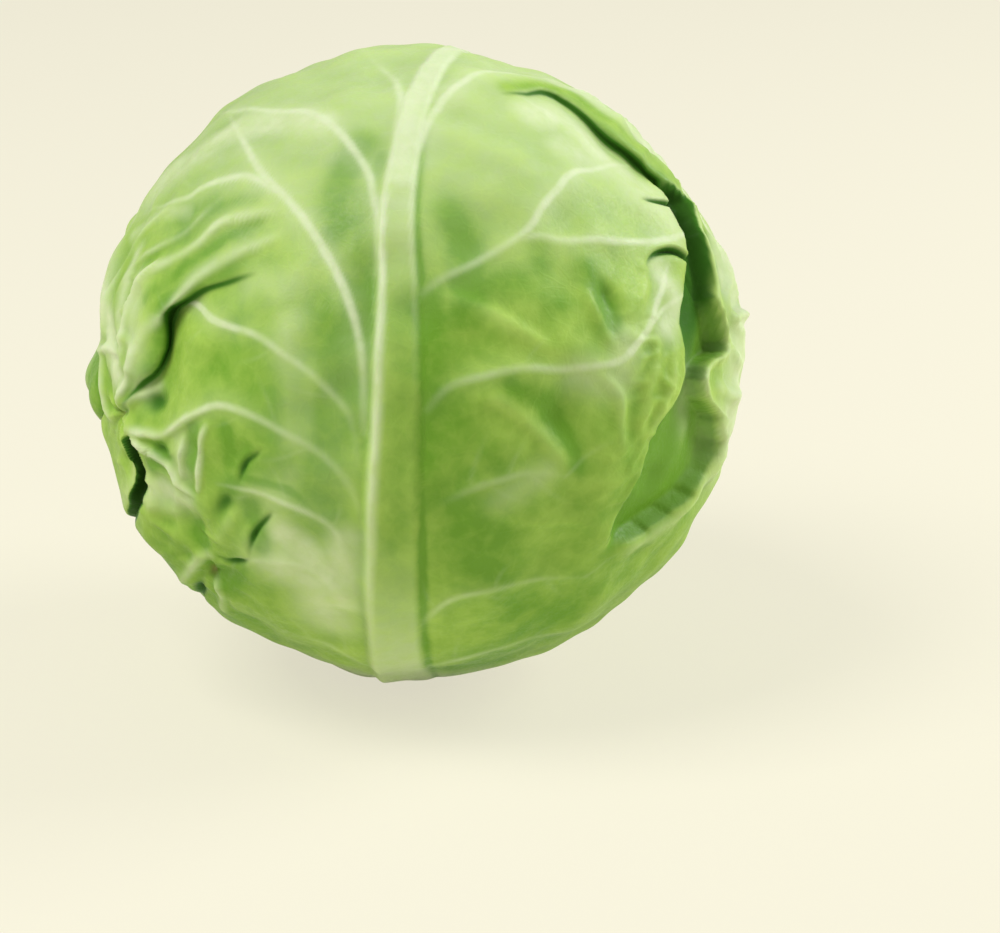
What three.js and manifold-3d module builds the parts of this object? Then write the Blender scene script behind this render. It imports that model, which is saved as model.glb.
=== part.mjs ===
// White cabbage: a cut stem whose core runs up into the head, three big wrapper leaves, nine
// head leaves nested under them, and the tight heart that they close round.
// Millimetres, +Z up, the front wrapper leaf faces -Y. The origin is the middle of the stem's
// cut face, on which the head stands.
import * as THREE from "three";
import { mergeVertices } from "three/addons/utils/BufferGeometryUtils.js";
import Module from "manifold-3d";

// Head.
const HEAD_RADIUS = 89;
const HEAD_HALF_HEIGHT = 87;
const HEAD_MIDDLE_Z = 88.5;

// Leaves. Each one lies a layer pitch below every leaf that was outside it.
const LAYER_PITCH = 2.8;
const LEAF_THICKNESS = 1.1;
const LEAF_SECTORS = 26;
const LEAF_RINGS = 8;
const LEAF_MIDDLE_LATITUDE = 5;
// Past a leaf's margin the leaves below stay pressed down this far, then rise again, in degrees.
const PRESSED_PAST_MARGIN = 10;
const RISEN_PAST_MARGIN = 42;

// Stem: the cut stump, and the core that tapers up inside the head.
const STUMP_RADIUS = 16;
const CORE_RADIUS = 17;
const CORE_FOOT_Z = 16;
const CORE_TIP_RADIUS = 5;
const CORE_TIP_Z = 82;
const STEM_SEGMENTS = 24;
const STEM_CLEARANCE = 0.5;

// Heart.
const HEART_GAP = 2.2;
const HEART_SECTORS = 28;
const HEART_RINGS = 18;

const LEAF_COLOUR = "#a5c860";
const INNER_LEAF_COLOUR = "#d3e19a";
const HEART_COLOUR = "#ece9b4";
const STEM_COLOUR = "#e6e4c4";

// How far a leaf reaches from its middle towards each clock hour, in degrees round the head.
// Hour 0 is the tip, which folds over the crown. Hour 6 is the base, which stops at the stem, so
// it is worked out from the stem, and the lists go from hour 5 to hour 7.
const BASE_HOUR = 6;
const FRONT_REACH = [118, 116, 108, 103, 94, 88, 88, 86, 84, 97, 112];
const WRAPPER_REACH = [112, 110, 104, 99, 92, 88, 88, 92, 99, 104, 110];
const HEAD_LEAF_REACH = [104, 101, 96, 92, 86, 82, 82, 86, 92, 96, 101];

// Leaves from the outermost in. Their middles step round the stem by the growth angle.
const GROWTH_ANGLE = 137;
const FRONT_AZIMUTH = -6;
const WRAPPERS = [
  { name: "front_wrapper_leaf", reach: FRONT_REACH, roll: 5.5 },
  { name: "right_wrapper_leaf", reach: WRAPPER_REACH, roll: -4 },
  { name: "left_wrapper_leaf", reach: WRAPPER_REACH, roll: 4 },
];
const HEAD_LEAF_COUNT = 9;

const radians = THREE.MathUtils.degToRad;
const degrees = THREE.MathUtils.radToDeg;

// A smooth closed run through the twelve hourly reaches, by Catmull-Rom.
function reachAt(reach, clock) {
  const hour = THREE.MathUtils.euclideanModulo(degrees(clock) / 30, 12);
  const from = Math.floor(hour);
  const share = hour - from;
  const [before, start, end, after] = [-1, 0, 1, 2].map((step) => reach[(from + step + 12) % 12]);
  const leaving = (end - before) / 2;
  const arriving = (after - start) / 2;
  const square = share * share;
  const cube = square * share;
  return (
    start * (2 * cube - 3 * square + 1) +
    leaving * (cube - 2 * square + share) +
    end * (3 * square - 2 * cube) +
    arriving * (cube - square)
  );
}

// A leaf's own directions: out through its middle, to its right and up to its tip.
function leafFrame(azimuth, roll) {
  const latitude = radians(LEAF_MIDDLE_LATITUDE);
  const turn = radians(azimuth);
  const out = new THREE.Vector3(
    Math.sin(turn) * Math.cos(latitude),
    -Math.cos(turn) * Math.cos(latitude),
    Math.sin(latitude),
  );
  const right = new THREE.Vector3(Math.cos(turn), Math.sin(turn), 0);
  right.applyAxisAngle(out, -radians(roll));
  const up = new THREE.Vector3().crossVectors(out, right);
  return { out, right, up };
}

// The direction at an angle from the leaf's middle, towards a clock angle.
function directionOn(leaf, angle, clock) {
  const sideways = Math.sin(angle);
  return new THREE.Vector3()
    .addScaledVector(leaf.frame.out, Math.cos(angle))
    .addScaledVector(leaf.frame.right, sideways * Math.sin(clock))
    .addScaledVector(leaf.frame.up, sideways * Math.cos(clock));
}

// How much a leaf presses down on what lies under it: 1 inside its margin, 0 well outside.
function pressAt(leaf, direction) {
  const { out, right, up } = leaf.frame;
  const angle = degrees(Math.acos(THREE.MathUtils.clamp(direction.dot(out), -1, 1)));
  const clock = Math.atan2(direction.dot(right), direction.dot(up));
  const past = angle - reachAt(leaf.reach, clock);
  return 1 - THREE.MathUtils.smoothstep(past, PRESSED_PAST_MARGIN, RISEN_PAST_MARGIN);
}

// The distance from the head's middle to its skin.
function skinRadius(direction) {
  const across = Math.hypot(direction.x, direction.y) / HEAD_RADIUS;
  return 1 / Math.hypot(across, direction.z / HEAD_HALF_HEIGHT);
}

function depthUnder(outerLeaves, direction) {
  return outerLeaves.reduce((sum, leaf) => sum + LAYER_PITCH * pressAt(leaf, direction), 0);
}

function pointOn(direction, radius) {
  const point = direction.clone().multiplyScalar(radius);
  point.z += HEAD_MIDDLE_Z;
  return point;
}

// A leaf is a sphere flattened into a shell: its upper half is the outer face, its lower half
// the inner face, and its equator the thin margin.
function leafGeometry(leaf, outerLeaves) {
  const shape = new THREE.SphereGeometry(1, LEAF_SECTORS, 2 * LEAF_RINGS);
  const places = shape.attributes.position;
  const point = new THREE.Vector3();
  for (let i = 0; i < places.count; i++) {
    point.fromBufferAttribute(places, i);
    const polar = Math.acos(THREE.MathUtils.clamp(point.y, -1, 1));
    const clock = Math.atan2(point.z, point.x);
    const isOuter = polar <= Math.PI / 2;
    const share = (isOuter ? polar : Math.PI - polar) / (Math.PI / 2);
    const angle = share * radians(reachAt(leaf.reach, clock));
    const direction = directionOn(leaf, angle, clock);
    const wall = isOuter ? 0 : LEAF_THICKNESS * (1 - share ** 4);
    const radius = skinRadius(direction) - depthUnder(outerLeaves, direction) - wall;
    const at = pointOn(direction, radius);
    places.setXYZ(i, at.x, at.y, at.z);
  }
  return shape;
}

// The stem's outline, from the cut face up to the core's tip, grown by a clearance.
function stemGeometry(clearance) {
  const outline = [
    new THREE.Vector2(0, -clearance),
    new THREE.Vector2(STUMP_RADIUS + clearance, -clearance),
    new THREE.Vector2(STUMP_RADIUS + clearance, CORE_FOOT_Z / 2),
    new THREE.Vector2(CORE_RADIUS + clearance, CORE_FOOT_Z),
    new THREE.Vector2(CORE_RADIUS * 0.85 + clearance, (CORE_FOOT_Z + CORE_TIP_Z) / 2),
    new THREE.Vector2(CORE_TIP_RADIUS + clearance, CORE_TIP_Z + clearance),
    new THREE.Vector2(0, CORE_TIP_Z + CORE_TIP_RADIUS / 2 + clearance),
  ];
  return new THREE.LatheGeometry(outline, STEM_SEGMENTS).rotateX(Math.PI / 2);
}

const wasm = await Module();
wasm.setup();

function solidOf(geometry) {
  const bare = geometry.clone();
  bare.deleteAttribute("normal");
  bare.deleteAttribute("uv");
  const merged = mergeVertices(bare, 1e-3);
  return new wasm.Manifold(
    new wasm.Mesh({
      numProp: 3,
      vertProperties: merged.attributes.position.array,
      triVerts: new Uint32Array(merged.index.array),
    }),
  );
}

// The heart fills what the leaves leave free, with a pocket for the core.
function heartGeometry(leaves) {
  const ball = new THREE.SphereGeometry(1, HEART_SECTORS, HEART_RINGS).rotateX(Math.PI / 2);
  const places = ball.attributes.position;
  const direction = new THREE.Vector3();
  for (let i = 0; i < places.count; i++) {
    direction.fromBufferAttribute(places, i).normalize();
    const radius = skinRadius(direction) - depthUnder(leaves, direction) - HEART_GAP;
    const at = pointOn(direction, radius);
    places.setXYZ(i, at.x, at.y, at.z);
  }
  const mesh = solidOf(ball).subtract(solidOf(stemGeometry(STEM_CLEARANCE))).getMesh();
  return new THREE.BufferGeometry()
    .setAttribute("position", new THREE.BufferAttribute(mesh.vertProperties, 3))
    .setIndex(new THREE.BufferAttribute(mesh.triVerts, 1));
}

function namedMesh(name, geometry, colour, roughness) {
  const material = new THREE.MeshStandardMaterial({ color: colour, roughness, metalness: 0 });
  const mesh = new THREE.Mesh(geometry, material);
  mesh.name = name;
  return mesh;
}

// All leaves from the outermost in, each with its own frame on the head.
const leaves = [];
for (let i = 0; i < WRAPPERS.length + HEAD_LEAF_COUNT; i++) {
  const wrapper = WRAPPERS[i];
  const reach = [...(wrapper ? wrapper.reach : HEAD_LEAF_REACH)];
  const baseRadius = HEAD_HALF_HEIGHT - i * LAYER_PITCH;
  const stemAngle = degrees(Math.asin((CORE_RADIUS + LEAF_THICKNESS) / baseRadius));
  reach.splice(BASE_HOUR, 0, 90 + LEAF_MIDDLE_LATITUDE - stemAngle);
  leaves.push({
    name: wrapper ? wrapper.name : "head_leaf_" + (i - WRAPPERS.length + 1),
    isWrapper: Boolean(wrapper),
    reach,
    frame: leafFrame(FRONT_AZIMUTH + i * GROWTH_ANGLE, wrapper ? wrapper.roll : 0),
  });
}

const cabbage = new THREE.Group();
leaves.forEach((leaf, i) => {
  const colour = leaf.isWrapper ? LEAF_COLOUR : INNER_LEAF_COLOUR;
  cabbage.add(namedMesh(leaf.name, leafGeometry(leaf, leaves.slice(0, i)), colour, 0.5));
});
cabbage.add(namedMesh("heart", heartGeometry(leaves), HEART_COLOUR, 0.6));
cabbage.add(namedMesh("stem", stemGeometry(0), STEM_COLOUR, 0.6));

export default cabbage;
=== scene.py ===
"""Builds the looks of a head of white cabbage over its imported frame: every leaf as a thin curved
sheet with its veins, crumples and pleats, the heart and the stem, and a plain stage."""

import functools
import math
from collections import namedtuple

import bpy
import numpy as np
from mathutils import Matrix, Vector


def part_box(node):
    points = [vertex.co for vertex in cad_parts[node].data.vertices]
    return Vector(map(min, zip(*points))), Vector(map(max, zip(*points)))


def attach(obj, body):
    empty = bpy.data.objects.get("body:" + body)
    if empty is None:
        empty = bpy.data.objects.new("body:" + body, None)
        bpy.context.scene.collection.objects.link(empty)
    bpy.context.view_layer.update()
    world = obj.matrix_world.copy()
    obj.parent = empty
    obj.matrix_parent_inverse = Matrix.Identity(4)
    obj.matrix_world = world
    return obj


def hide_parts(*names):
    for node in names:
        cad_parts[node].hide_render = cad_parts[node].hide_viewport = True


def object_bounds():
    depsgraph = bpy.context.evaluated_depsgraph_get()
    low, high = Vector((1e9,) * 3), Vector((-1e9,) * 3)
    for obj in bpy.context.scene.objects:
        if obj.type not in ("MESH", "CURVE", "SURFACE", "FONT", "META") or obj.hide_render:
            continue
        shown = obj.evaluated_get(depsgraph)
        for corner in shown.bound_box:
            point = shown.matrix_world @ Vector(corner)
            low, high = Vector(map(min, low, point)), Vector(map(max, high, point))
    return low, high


bl_info = {
    "name": "White Cabbage",
    "version": (1, 0, 0),
    "blender": (4, 5, 0),
    "location": "View3D > Sidebar > Cabbage",
    "description": "Builds a head of white cabbage leaf by leaf",
    "category": "Add Mesh",
}

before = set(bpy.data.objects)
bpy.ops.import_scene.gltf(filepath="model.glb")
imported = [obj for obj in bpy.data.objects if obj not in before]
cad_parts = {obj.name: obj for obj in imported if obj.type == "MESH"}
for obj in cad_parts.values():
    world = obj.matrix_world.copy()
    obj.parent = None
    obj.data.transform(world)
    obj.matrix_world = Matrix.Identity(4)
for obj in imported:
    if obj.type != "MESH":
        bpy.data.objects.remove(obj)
CAD_BOX = [list(corner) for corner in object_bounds()]

# Sizes are in metres, and most are written in millimetres.
MM = 0.001

# The head is a ball a little lower than wide. Its middle lies half its height under its top,
# which the frame's faceted leaves stay a little below.
HEIGHT_FOR_WIDTH = 0.978
TOP_OVER_FRAME = 0.4 * MM
HEAD_RADIUS = round((CAD_BOX[1][0] - CAD_BOX[0][0]) / 2, 3)
HEAD_HALF_HEIGHT = HEIGHT_FOR_WIDTH * HEAD_RADIUS
HEAD_MIDDLE = np.array([0, 0, CAD_BOX[1][2] + TOP_OVER_FRAME - HEAD_HALF_HEIGHT])

# Each leaf lies one pitch under every leaf outside it. Past a leaf's margin the leaves below
# stay pressed down for a while, then rise again, in degrees round the head.
LAYER_PITCH = 2.8 * MM
PRESSED_PAST_MARGIN = 10
RISEN_PAST_MARGIN = 42
LEAF_MIDDLE_LATITUDE = 5
GROWTH_ANGLE = 137
FRONT_AZIMUTH = -6

# How far a leaf reaches from its middle towards each clock hour, in degrees round the head.
# Hour 0 is the tip over the crown and hour 6 the base at the stem.
BASE_HOUR = 6
FRONT_REACH = [118, 116, 108, 103, 94, 88, 88, 86, 84, 97, 112]
WRAPPER_REACH = [112, 110, 104, 99, 92, 88, 88, 92, 99, 104, 110]
HEAD_LEAF_REACH = [104, 101, 96, 92, 86, 82, 82, 86, 92, 96, 101]
HEAD_LEAF_COUNT = 9

# A margin waves in and out by this many degrees, so many times round the leaf, with finer frills.
MARGIN_WAVE = 0.9
MARGIN_WAVES = 9
MARGIN_FRILLS = 23

# A leaf hides what lies under it from a little inside its margin to just past it, in degrees, and
# a hidden leaf loses this share of its relief.
HIDES_FROM = -7
HIDES_TO = 1
RELIEF_LOST = 0.9

# What the leaves' colours follow: pale veins, whitish wax that is partly painted light, deep green
# that is partly painted shade, painted shade in creases, dried spots and, from -1 in hollows to 1
# on ridges, the relief, which also paints shade into hollows and light onto ridges.
MARKS = ("vein", "wax", "deep_green_and_shade", "painted_crease_shade", "dry", "crest")
CREST_HEIGHT = 0.8 * MM
CREST_REACH = 4 * MM

# The stem's outline from its cut face to the core's tip, and the heart that fills the rest.
CORE_RADIUS = (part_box("stem")[1].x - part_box("stem")[0].x) / 2
STEM_HEIGHTS = (0, 8 * MM, 16 * MM, 49 * MM, 82 * MM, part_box("stem")[1].z)
STEM_RADII = (16 * MM, 16 * MM, CORE_RADIUS, 14.45 * MM, 5 * MM, 0)
STEM_CLEARANCE = 0.5 * MM
LEAF_CLEARANCE = 1.1 * MM
HEART_GAP = 2.2 * MM

# Cells across each leaf's outer grid. The inner grid is coarser by a whole number.
FRONT_CELLS = 297
WRAPPER_CELLS = 216
HEAD_LEAF_CELLS = 108
COARSER = 3

# How many small branches a side vein has.
WRAPPER_TWIGS = 5
HEAD_LEAF_TWIGS = 1

# Seeds of the random numbers, so that every run gives the same head.
FRONT_CRUMPLE_SEED = 1
FRONT_TWIG_SEED = 4
PLAIN_SEED = 20
PLAIN_CRUMPLE_SEED = 40
WRINKLE_SEED = 61
HEART_SEED = 90

# The corner of the left leaf that stands out past the front leaf: its place and size in the
# front leaf's chart, in degrees.
CORNER = (-80, -13.5)
CORNER_SIZE = 9
CORNER_HEIGHT = 6 * MM

# The grid on which the front leaf's dips are kept, in cells and degrees. The leaves under it
# follow what is deeper than the slack.
DIP_CELLS = 101
DIP_STEP = 2.5
DIP_SLACK = 1 * MM

# The sizes that a leaf's shape follows, in metres.
Sizes = namedtuple("Sizes", "thickness midrib_height vein_height crumple")


# ---------------------------------------------------------------- shapes in numbers


def smooth_step(value, start, end):
    """0 before start, 1 after end, and an S-shaped cubic between them."""
    share = np.clip((value - start) / (end - start), 0, 1)
    return share * share * (3 - 2 * share)


def between(value, start, end, ends):
    """0 at both ends of a range and 1 inside it, with S-shaped steps as long as ends."""
    return smooth_step(value, start, start + ends) * (1 - smooth_step(value, end - ends, end))


def bell(distance, width=1, power=2):
    """1 at no distance and fading either way: e to the power of minus the distance in widths,
    squared, or flat-topped where it is taken to the fourth."""
    return np.exp(-((distance / width) ** power))


def spaced(values, place):
    """What lies at a place from 0 to 1 along values that are spaced evenly, straight between
    them."""
    return np.interp(place, np.linspace(0, 1, len(values)), values)


def unit(vectors):
    """Vectors scaled to length 1."""
    return vectors / np.linalg.norm(vectors, axis=-1, keepdims=True)


def smooth_line(points, steps):
    """A line through given points: uniform Catmull-Rom pieces, with one more point set
    straight past each end."""
    points = np.array(points, float)
    padded = np.vstack([2 * points[0] - points[1], points, 2 * points[-1] - points[-2]])
    place = np.linspace(0, len(points) - 1, steps + 1)
    first = np.minimum(place.astype(int), len(points) - 2)
    share = (place - first)[:, None]
    before, start, end, after = (padded[first + step] for step in range(4))
    return 0.5 * (
        2 * start
        + (end - before) * share
        + (2 * before - 5 * start + 4 * end - after) * share**2
        + (3 * start - before - 3 * end + after) * share**3
    )


def bumps(places, wavelength, seed, waves=28):
    """Smooth random bumps of about unit height: a sum of plane waves whose directions and
    phases are random and whose lengths lie round the given one."""
    rng = np.random.default_rng(seed)
    turn = 2 * math.pi / wavelength * rng.uniform(0.7, 1.4, (waves, 1))
    waves_along = unit(rng.normal(size=(waves, 3))) * turn
    phase = rng.uniform(0, 2 * math.pi, waves)
    return np.sin(places @ waves_along.T + phase).sum(axis=-1) * math.sqrt(2 / waves)


def skin_distance(directions):
    """From the head's middle to its skin: the radius of the ellipsoid in each direction."""
    across = np.hypot(directions[..., 0], directions[..., 1]) / HEAD_RADIUS
    return 1 / np.hypot(across, directions[..., 2] / HEAD_HALF_HEIGHT)


class Leaf:
    """Where a leaf lies on the head. Its chart is flat: a place is given in degrees to the
    right of and above the leaf's middle, and its distance from there is an angle on the head.
    A notch in its margin has a clock angle, a depth and a half-width, all in degrees."""

    def __init__(self, name, place_from_outside, reach, roll=0, notch=(0, 0, 1)):
        self.name = name
        self.notch = notch
        latitude = math.radians(LEAF_MIDDLE_LATITUDE)
        azimuth = math.radians(FRONT_AZIMUTH + place_from_outside * GROWTH_ANGLE)
        base_distance = HEAD_HALF_HEIGHT - place_from_outside * LAYER_PITCH
        stem_angle = math.degrees(math.asin((CORE_RADIUS + LEAF_CLEARANCE) / base_distance))
        self.reach = np.insert(reach, BASE_HOUR, 90 + LEAF_MIDDLE_LATITUDE - stem_angle)
        self.out = np.array([
            math.sin(azimuth) * math.cos(latitude),
            -math.cos(azimuth) * math.cos(latitude),
            math.sin(latitude),
        ])
        level = np.array([math.cos(azimuth), math.sin(azimuth), 0])
        upright = np.cross(self.out, level)
        tilt = math.radians(roll)
        self.right = level * math.cos(tilt) - upright * math.sin(tilt)
        self.up = np.cross(self.out, self.right)

    def directions(self, right, up):
        """Unit directions from the head's middle to chart places given in degrees."""
        angle = np.radians(np.hypot(right, up))[..., None]
        clock = np.arctan2(right, up)[..., None]
        sideways = np.sin(clock) * self.right + np.cos(clock) * self.up
        return np.cos(angle) * self.out + np.sin(angle) * sideways

    def margin(self, clock):
        """The reach towards a clock angle, by Catmull-Rom through the twelve hourly reaches, less
        the notch: a flat-topped bell round its clock angle."""
        hour = np.degrees(clock) / 30 % 12
        first = np.floor(hour).astype(int) % 12
        share = hour - np.floor(hour)
        before, start, end, after = (self.reach[(first + step) % 12] for step in (-1, 0, 1, 2))
        leaving, arriving = (end - before) / 2, (after - start) / 2
        square, cube = share**2, share**3
        notch_clock, notch_depth, notch_width = self.notch
        off_notch = (np.degrees(clock) - notch_clock + 180) % 360 - 180
        return (
            start * (2 * cube - 3 * square + 1)
            + leaving * (cube - 2 * square + share)
            + end * (3 * square - 2 * cube)
            + arriving * (cube - square)
            - notch_depth * bell(off_notch, notch_width, 4)
        )

    def polar(self, directions):
        """The angle from the leaf's middle, in degrees, and the clock angle of directions."""
        angle = np.degrees(np.arccos(np.clip(directions @ self.out, -1, 1)))
        return angle, np.arctan2(directions @ self.right, directions @ self.up)

    def press(self, directions):
        """How far this leaf holds down what lies under it: 1 inside its margin, 0 well outside."""
        angle, clock = self.polar(directions)
        return 1 - smooth_step(angle - self.margin(clock), PRESSED_PAST_MARGIN, RISEN_PAST_MARGIN)

    def cover(self, directions):
        """How well this leaf hides what lies under it: 1 inside its margin, 0 outside."""
        angle, clock = self.polar(directions)
        return 1 - smooth_step(angle - self.margin(clock), HIDES_FROM, HIDES_TO)


LEAVES = [
    Leaf("front_wrapper_leaf", 0, FRONT_REACH, roll=5.5, notch=(-98, 12, 9)),
    Leaf("right_wrapper_leaf", 1, WRAPPER_REACH, roll=-4),
    Leaf("left_wrapper_leaf", 2, WRAPPER_REACH, roll=4),
]
for count in range(HEAD_LEAF_COUNT):
    LEAVES.append(Leaf(f"head_leaf_{count + 1}", len(LEAVES), HEAD_LEAF_REACH))


def disc_grid(cells):
    """A square grid carried onto a disc so that its square rings become circles. Returns each
    crossing's share of the way out to the rim and its clock angle."""
    line = np.linspace(-1, 1, cells + 1)
    across, up = np.meshgrid(line, line)
    wide = abs(across) >= abs(up)
    radius = np.where(wide, across, up)
    other = np.where(wide, up, across)
    turn = math.pi / 4 * other / np.where(radius == 0, 1, radius)
    turn = np.where(wide, turn, math.pi / 2 - turn)
    return abs(radius), np.arctan2(radius * np.cos(turn), radius * np.sin(turn))


class Blade:
    """The outer face of a leaf on a grid: where every crossing lies on the undisturbed head,
    how far veins, crumples and pleats lift or slide it, and the marks that its colours follow.
    The crossings are a little closer together in the middle than at the margin."""

    def __init__(self, leaf, cells):
        self.leaf = leaf
        self.cells = cells
        self.share, self.clock = disc_grid(cells)
        waves = MARGIN_WAVE * np.sin(MARGIN_WAVES * self.clock)
        waves = waves + 0.6 * MARGIN_WAVE * np.sin(MARGIN_FRILLS * self.clock + 1)
        crowded = 0.76 * self.share + 0.24 * self.share**3
        angle = crowded * (leaf.margin(self.clock) + waves)
        self.settle(leaf.directions(angle * np.sin(self.clock), angle * np.cos(self.clock)))
        self.pitch = 2 * math.radians(np.mean(leaf.reach)) * HEAD_RADIUS / cells
        self.lift = np.zeros(self.share.shape)
        self.slide = np.zeros(self.share.shape + (3,))
        self.ridges = np.zeros(self.share.shape)
        self.marks = {name: np.zeros(self.share.shape) for name in MARKS}

    def settle(self, directions):
        """Puts the crossings in these directions from the head's middle."""
        self.out = directions
        self.ground = directions * HEAD_RADIUS

    def line(self, points, steps=24):
        """A smooth line over the head through chart points."""
        chart = smooth_line(points, steps)
        return self.leaf.directions(chart[:, 0], chart[:, 1]) * HEAD_RADIUS

    def spot(self, place):
        """A chart place on the head."""
        return self.line([place, place], 1)[0]

    def near(self, points, within, steps=24):
        """For the crossings near a line: which they are, how far along it from 0 to 1, their
        distance to it, signed to its right, and the unit vector that points to the right."""
        line = self.line(points, steps)
        middle = line[len(line) // 2]
        spread = np.linalg.norm(line - middle, axis=1).max() + within
        chosen = np.nonzero(np.linalg.norm(self.ground - middle, axis=-1) < spread)
        ground, out = self.ground[chosen], self.out[chosen]
        heading = unit(np.gradient(line, axis=0))
        best = np.full(len(ground), np.inf)
        along, side = np.zeros(len(ground)), np.zeros(len(ground))
        rightward = np.zeros((len(ground), 3))
        for index, (start, end) in enumerate(zip(line[:-1], line[1:])):
            run = end - start
            share = np.clip((ground - start) @ run / (run @ run), 0, 1)[:, None]
            away = ground - start - share * run
            distance = np.linalg.norm(away, axis=1)
            closer = distance < best
            turning = heading[index] * (1 - share) + heading[index + 1] * share
            right = unit(np.cross(turning[closer], out[closer]))
            best[closer] = distance[closer]
            along[closer] = (index + share[closer, 0]) / (len(line) - 1)
            side[closer] = distance[closer] * np.where((away[closer] * right).sum(1) < 0, -1, 1)
            rightward[closer] = right
        return chosen, along, side, rightward

    def mark(self, name, chosen, strength):
        """Raises a colour mark to this strength where it is lower."""
        self.marks[name][chosen] = np.maximum(self.marks[name][chosen], strength)

    def draw_left(self, chosen, along, rightward, distance, width, pull):
        """Moves crossings to the left by a share of a distance: a bell of that distance, which
        fades at both ends of the line."""
        share = pull * bell(distance, 1.8 * width) * between(along, 0, 1, 0.1)
        directions = self.out.copy()
        directions[chosen] = unit(self.ground[chosen] - rightward * (distance * share)[:, None])
        self.settle(directions)

    def gather(self, points, width, pull=0.5):
        """Draws grid lines together along a line, for the tight curves of a pleat."""
        chosen, along, side, rightward = self.near(points, 5 * width)
        self.draw_left(chosen, along, rightward, side, width, pull)

    def vein(self, points, height, width, pales, within=24 * MM, steps=24):
        """A raised vein that tapers from its root to its tip: a narrow bell on a broad tent with
        a round top, so that the blade slopes away from it. Veins join by the cube root of their
        summed cubes. How pale it is runs evenly through the given values from root to tip."""
        chosen, along, side, _ = self.near(points, within, steps)
        tip, tent_top, tent_slope = 0.3, 2 * MM, 7 * MM
        taper = (1 - (1 - tip) * along) * (1 - smooth_step(along, 0.75, 1))
        narrow = np.maximum(width * (0.5 + 0.5 * taper), 1.2 * self.pitch)
        tent = np.exp(-np.sqrt(side**2 + tent_top**2) / tent_slope)
        rise = smooth_step(along, 0, 0.22)
        profile = 0.3 * bell(side, narrow) + 0.9 * tent
        self.ridges[chosen] += (height * taper * (0.2 + 0.8 * rise) * profile) ** 3
        core, halo = bell(side, 0.85 * narrow), 0.35 * bell(side, 3 * narrow)
        self.mark("vein", chosen, spaced(pales, along) * np.maximum(core, halo))

    def fold(self, points, height, width, pale=0.0, painted_crease_shade=0.0, lip=0.0, ends=0.25, lean=0.0):
        """A soft ridge, or a groove where its height is negative: a bell across the line that
        fades in and out along it and is a little uneven. It is gentle on its right and steep on
        its left where lean is over 0, and the other way round below 0. A lip stands up beside a
        groove, on its right or, below 0, on its left."""
        chosen, along, side, _ = self.near(points, 4 * width)
        fade = between(along, 0, 1, ends) * (1 + 0.18 * np.sin(13 * along + 5 * len(points)))
        across = bell(side, width * (1 + 0.45 * lean * np.sign(side))) * fade
        beside = bell(side - math.copysign(1.7 * width, lip), width) * fade
        self.lift[chosen] += height * (across - abs(lip) * beside)
        self.mark("vein", chosen, pale * across)
        # Painted shade: a groove's crease is darkened by the given amount.
        self.mark("painted_crease_shade", chosen, painted_crease_shade * across)

    def wrinkle(self, points, height, radius, wavelength, seed):
        """Sharp wrinkles round a line: a crest less the size of smooth bumps, which is a ridge
        where they cross zero, and no lower than the crest is high. They fade as a bell with the
        distance to the line."""
        crest = 0.6
        chosen, _, side, _ = self.near(points, 2.2 * radius)
        ridge = np.maximum(crest - np.abs(bumps(self.ground[chosen], wavelength, seed)), -crest)
        self.lift[chosen] += height * ridge * bell(side, radius)

    def tint(self, name, points, width, strength):
        """Colours a soft patch along a line: a bell across it and round its ends."""
        chosen, _, side, _ = self.near(points, 3 * width)
        self.mark(name, chosen, strength * bell(side, width))

    def swell(self, place, height, radius):
        """A broad round rise, or a dent where its height is negative: a bell round a place."""
        distance = np.linalg.norm(self.ground - self.spot(place), axis=-1)
        self.lift += height * bell(distance, radius)

    def pucker(self, place, depth, radius, pleats, phase):
        """A pinched knot: a pit with wrinkles that run out from it like spokes, each a cosine
        round the knot that fades with distance, browned in the middle."""
        knot = self.spot(place)
        level = unit(np.cross([0, 0, 1], knot))
        upright = np.cross(unit(knot), level)
        away = self.ground - knot
        distance = np.linalg.norm(away, axis=-1)
        turn = np.arctan2(away @ upright, away @ level)
        spokes = np.cos(pleats * turn + phase + 0.8 * np.sin(2 * turn))
        fade = distance / (distance + 2 * MM) * bell(distance, radius)
        self.lift += 0.45 * depth * spokes * fade
        self.lift -= depth * bell(distance, 0.3 * radius)
        self.mark("dry", ..., 0.8 * bell(distance, 0.16 * radius))

    def pleat(self, points, lap, lift, drop, width, over, shares):
        """A place where the blade laps over itself, by shares that run from its start to its end.
        Across the line the blade slides towards it by its distance times a bell, and past it
        where lap is over 1, so that it doubles back. The side that comes out on top, right for
        over=1 and left for -1, is lifted by a curve that rises and fades, and the other is
        dropped by a bell."""
        chosen, along, side, rightward = self.near(points, 5 * width)
        fade = spaced(shares, along)
        across = over * side / width
        slide = -lap * across * bell(across) * fade * width
        self.slide[chosen] += over * rightward * slide[:, None]
        rise = np.tanh(1.5 * across) * bell(across, 2.5)
        self.lift[chosen] += fade * (lift * rise - drop * bell(across + 0.7))
        # Painted shade: the fold's crease is darkened, and the flank beside it is a deeper green as
        # half-shadow.
        shade = fade**0.7
        self.mark("painted_crease_shade", chosen, shade * bell(across + 0.2, 0.2 + 0.25 * shade))
        self.mark("deep_green_and_shade", chosen, shade * bell(across - 0.7, 0.6))

    def past_edges(self, points, left_widths, right_widths):
        """As near(), and how far past the edges that lie at widths, in millimetres and spaced
        evenly along the line, to its left and right."""
        surround = 8 * MM
        within = max(left_widths + right_widths) * MM + surround
        chosen, along, side, rightward = self.near(points, within)
        left, right = spaced(left_widths, along) * MM, spaced(right_widths, along) * MM
        return chosen, along, side, rightward, np.where(side > 0, side - right, -side - left)

    def gather_edges(self, points, left_widths, right_widths, width, pull):
        """As gather(), towards both edges of an open pleat."""
        chosen, along, side, rightward, past = self.past_edges(points, left_widths, right_widths)
        self.draw_left(chosen, along, rightward, past * np.sign(side), width, pull)

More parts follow.
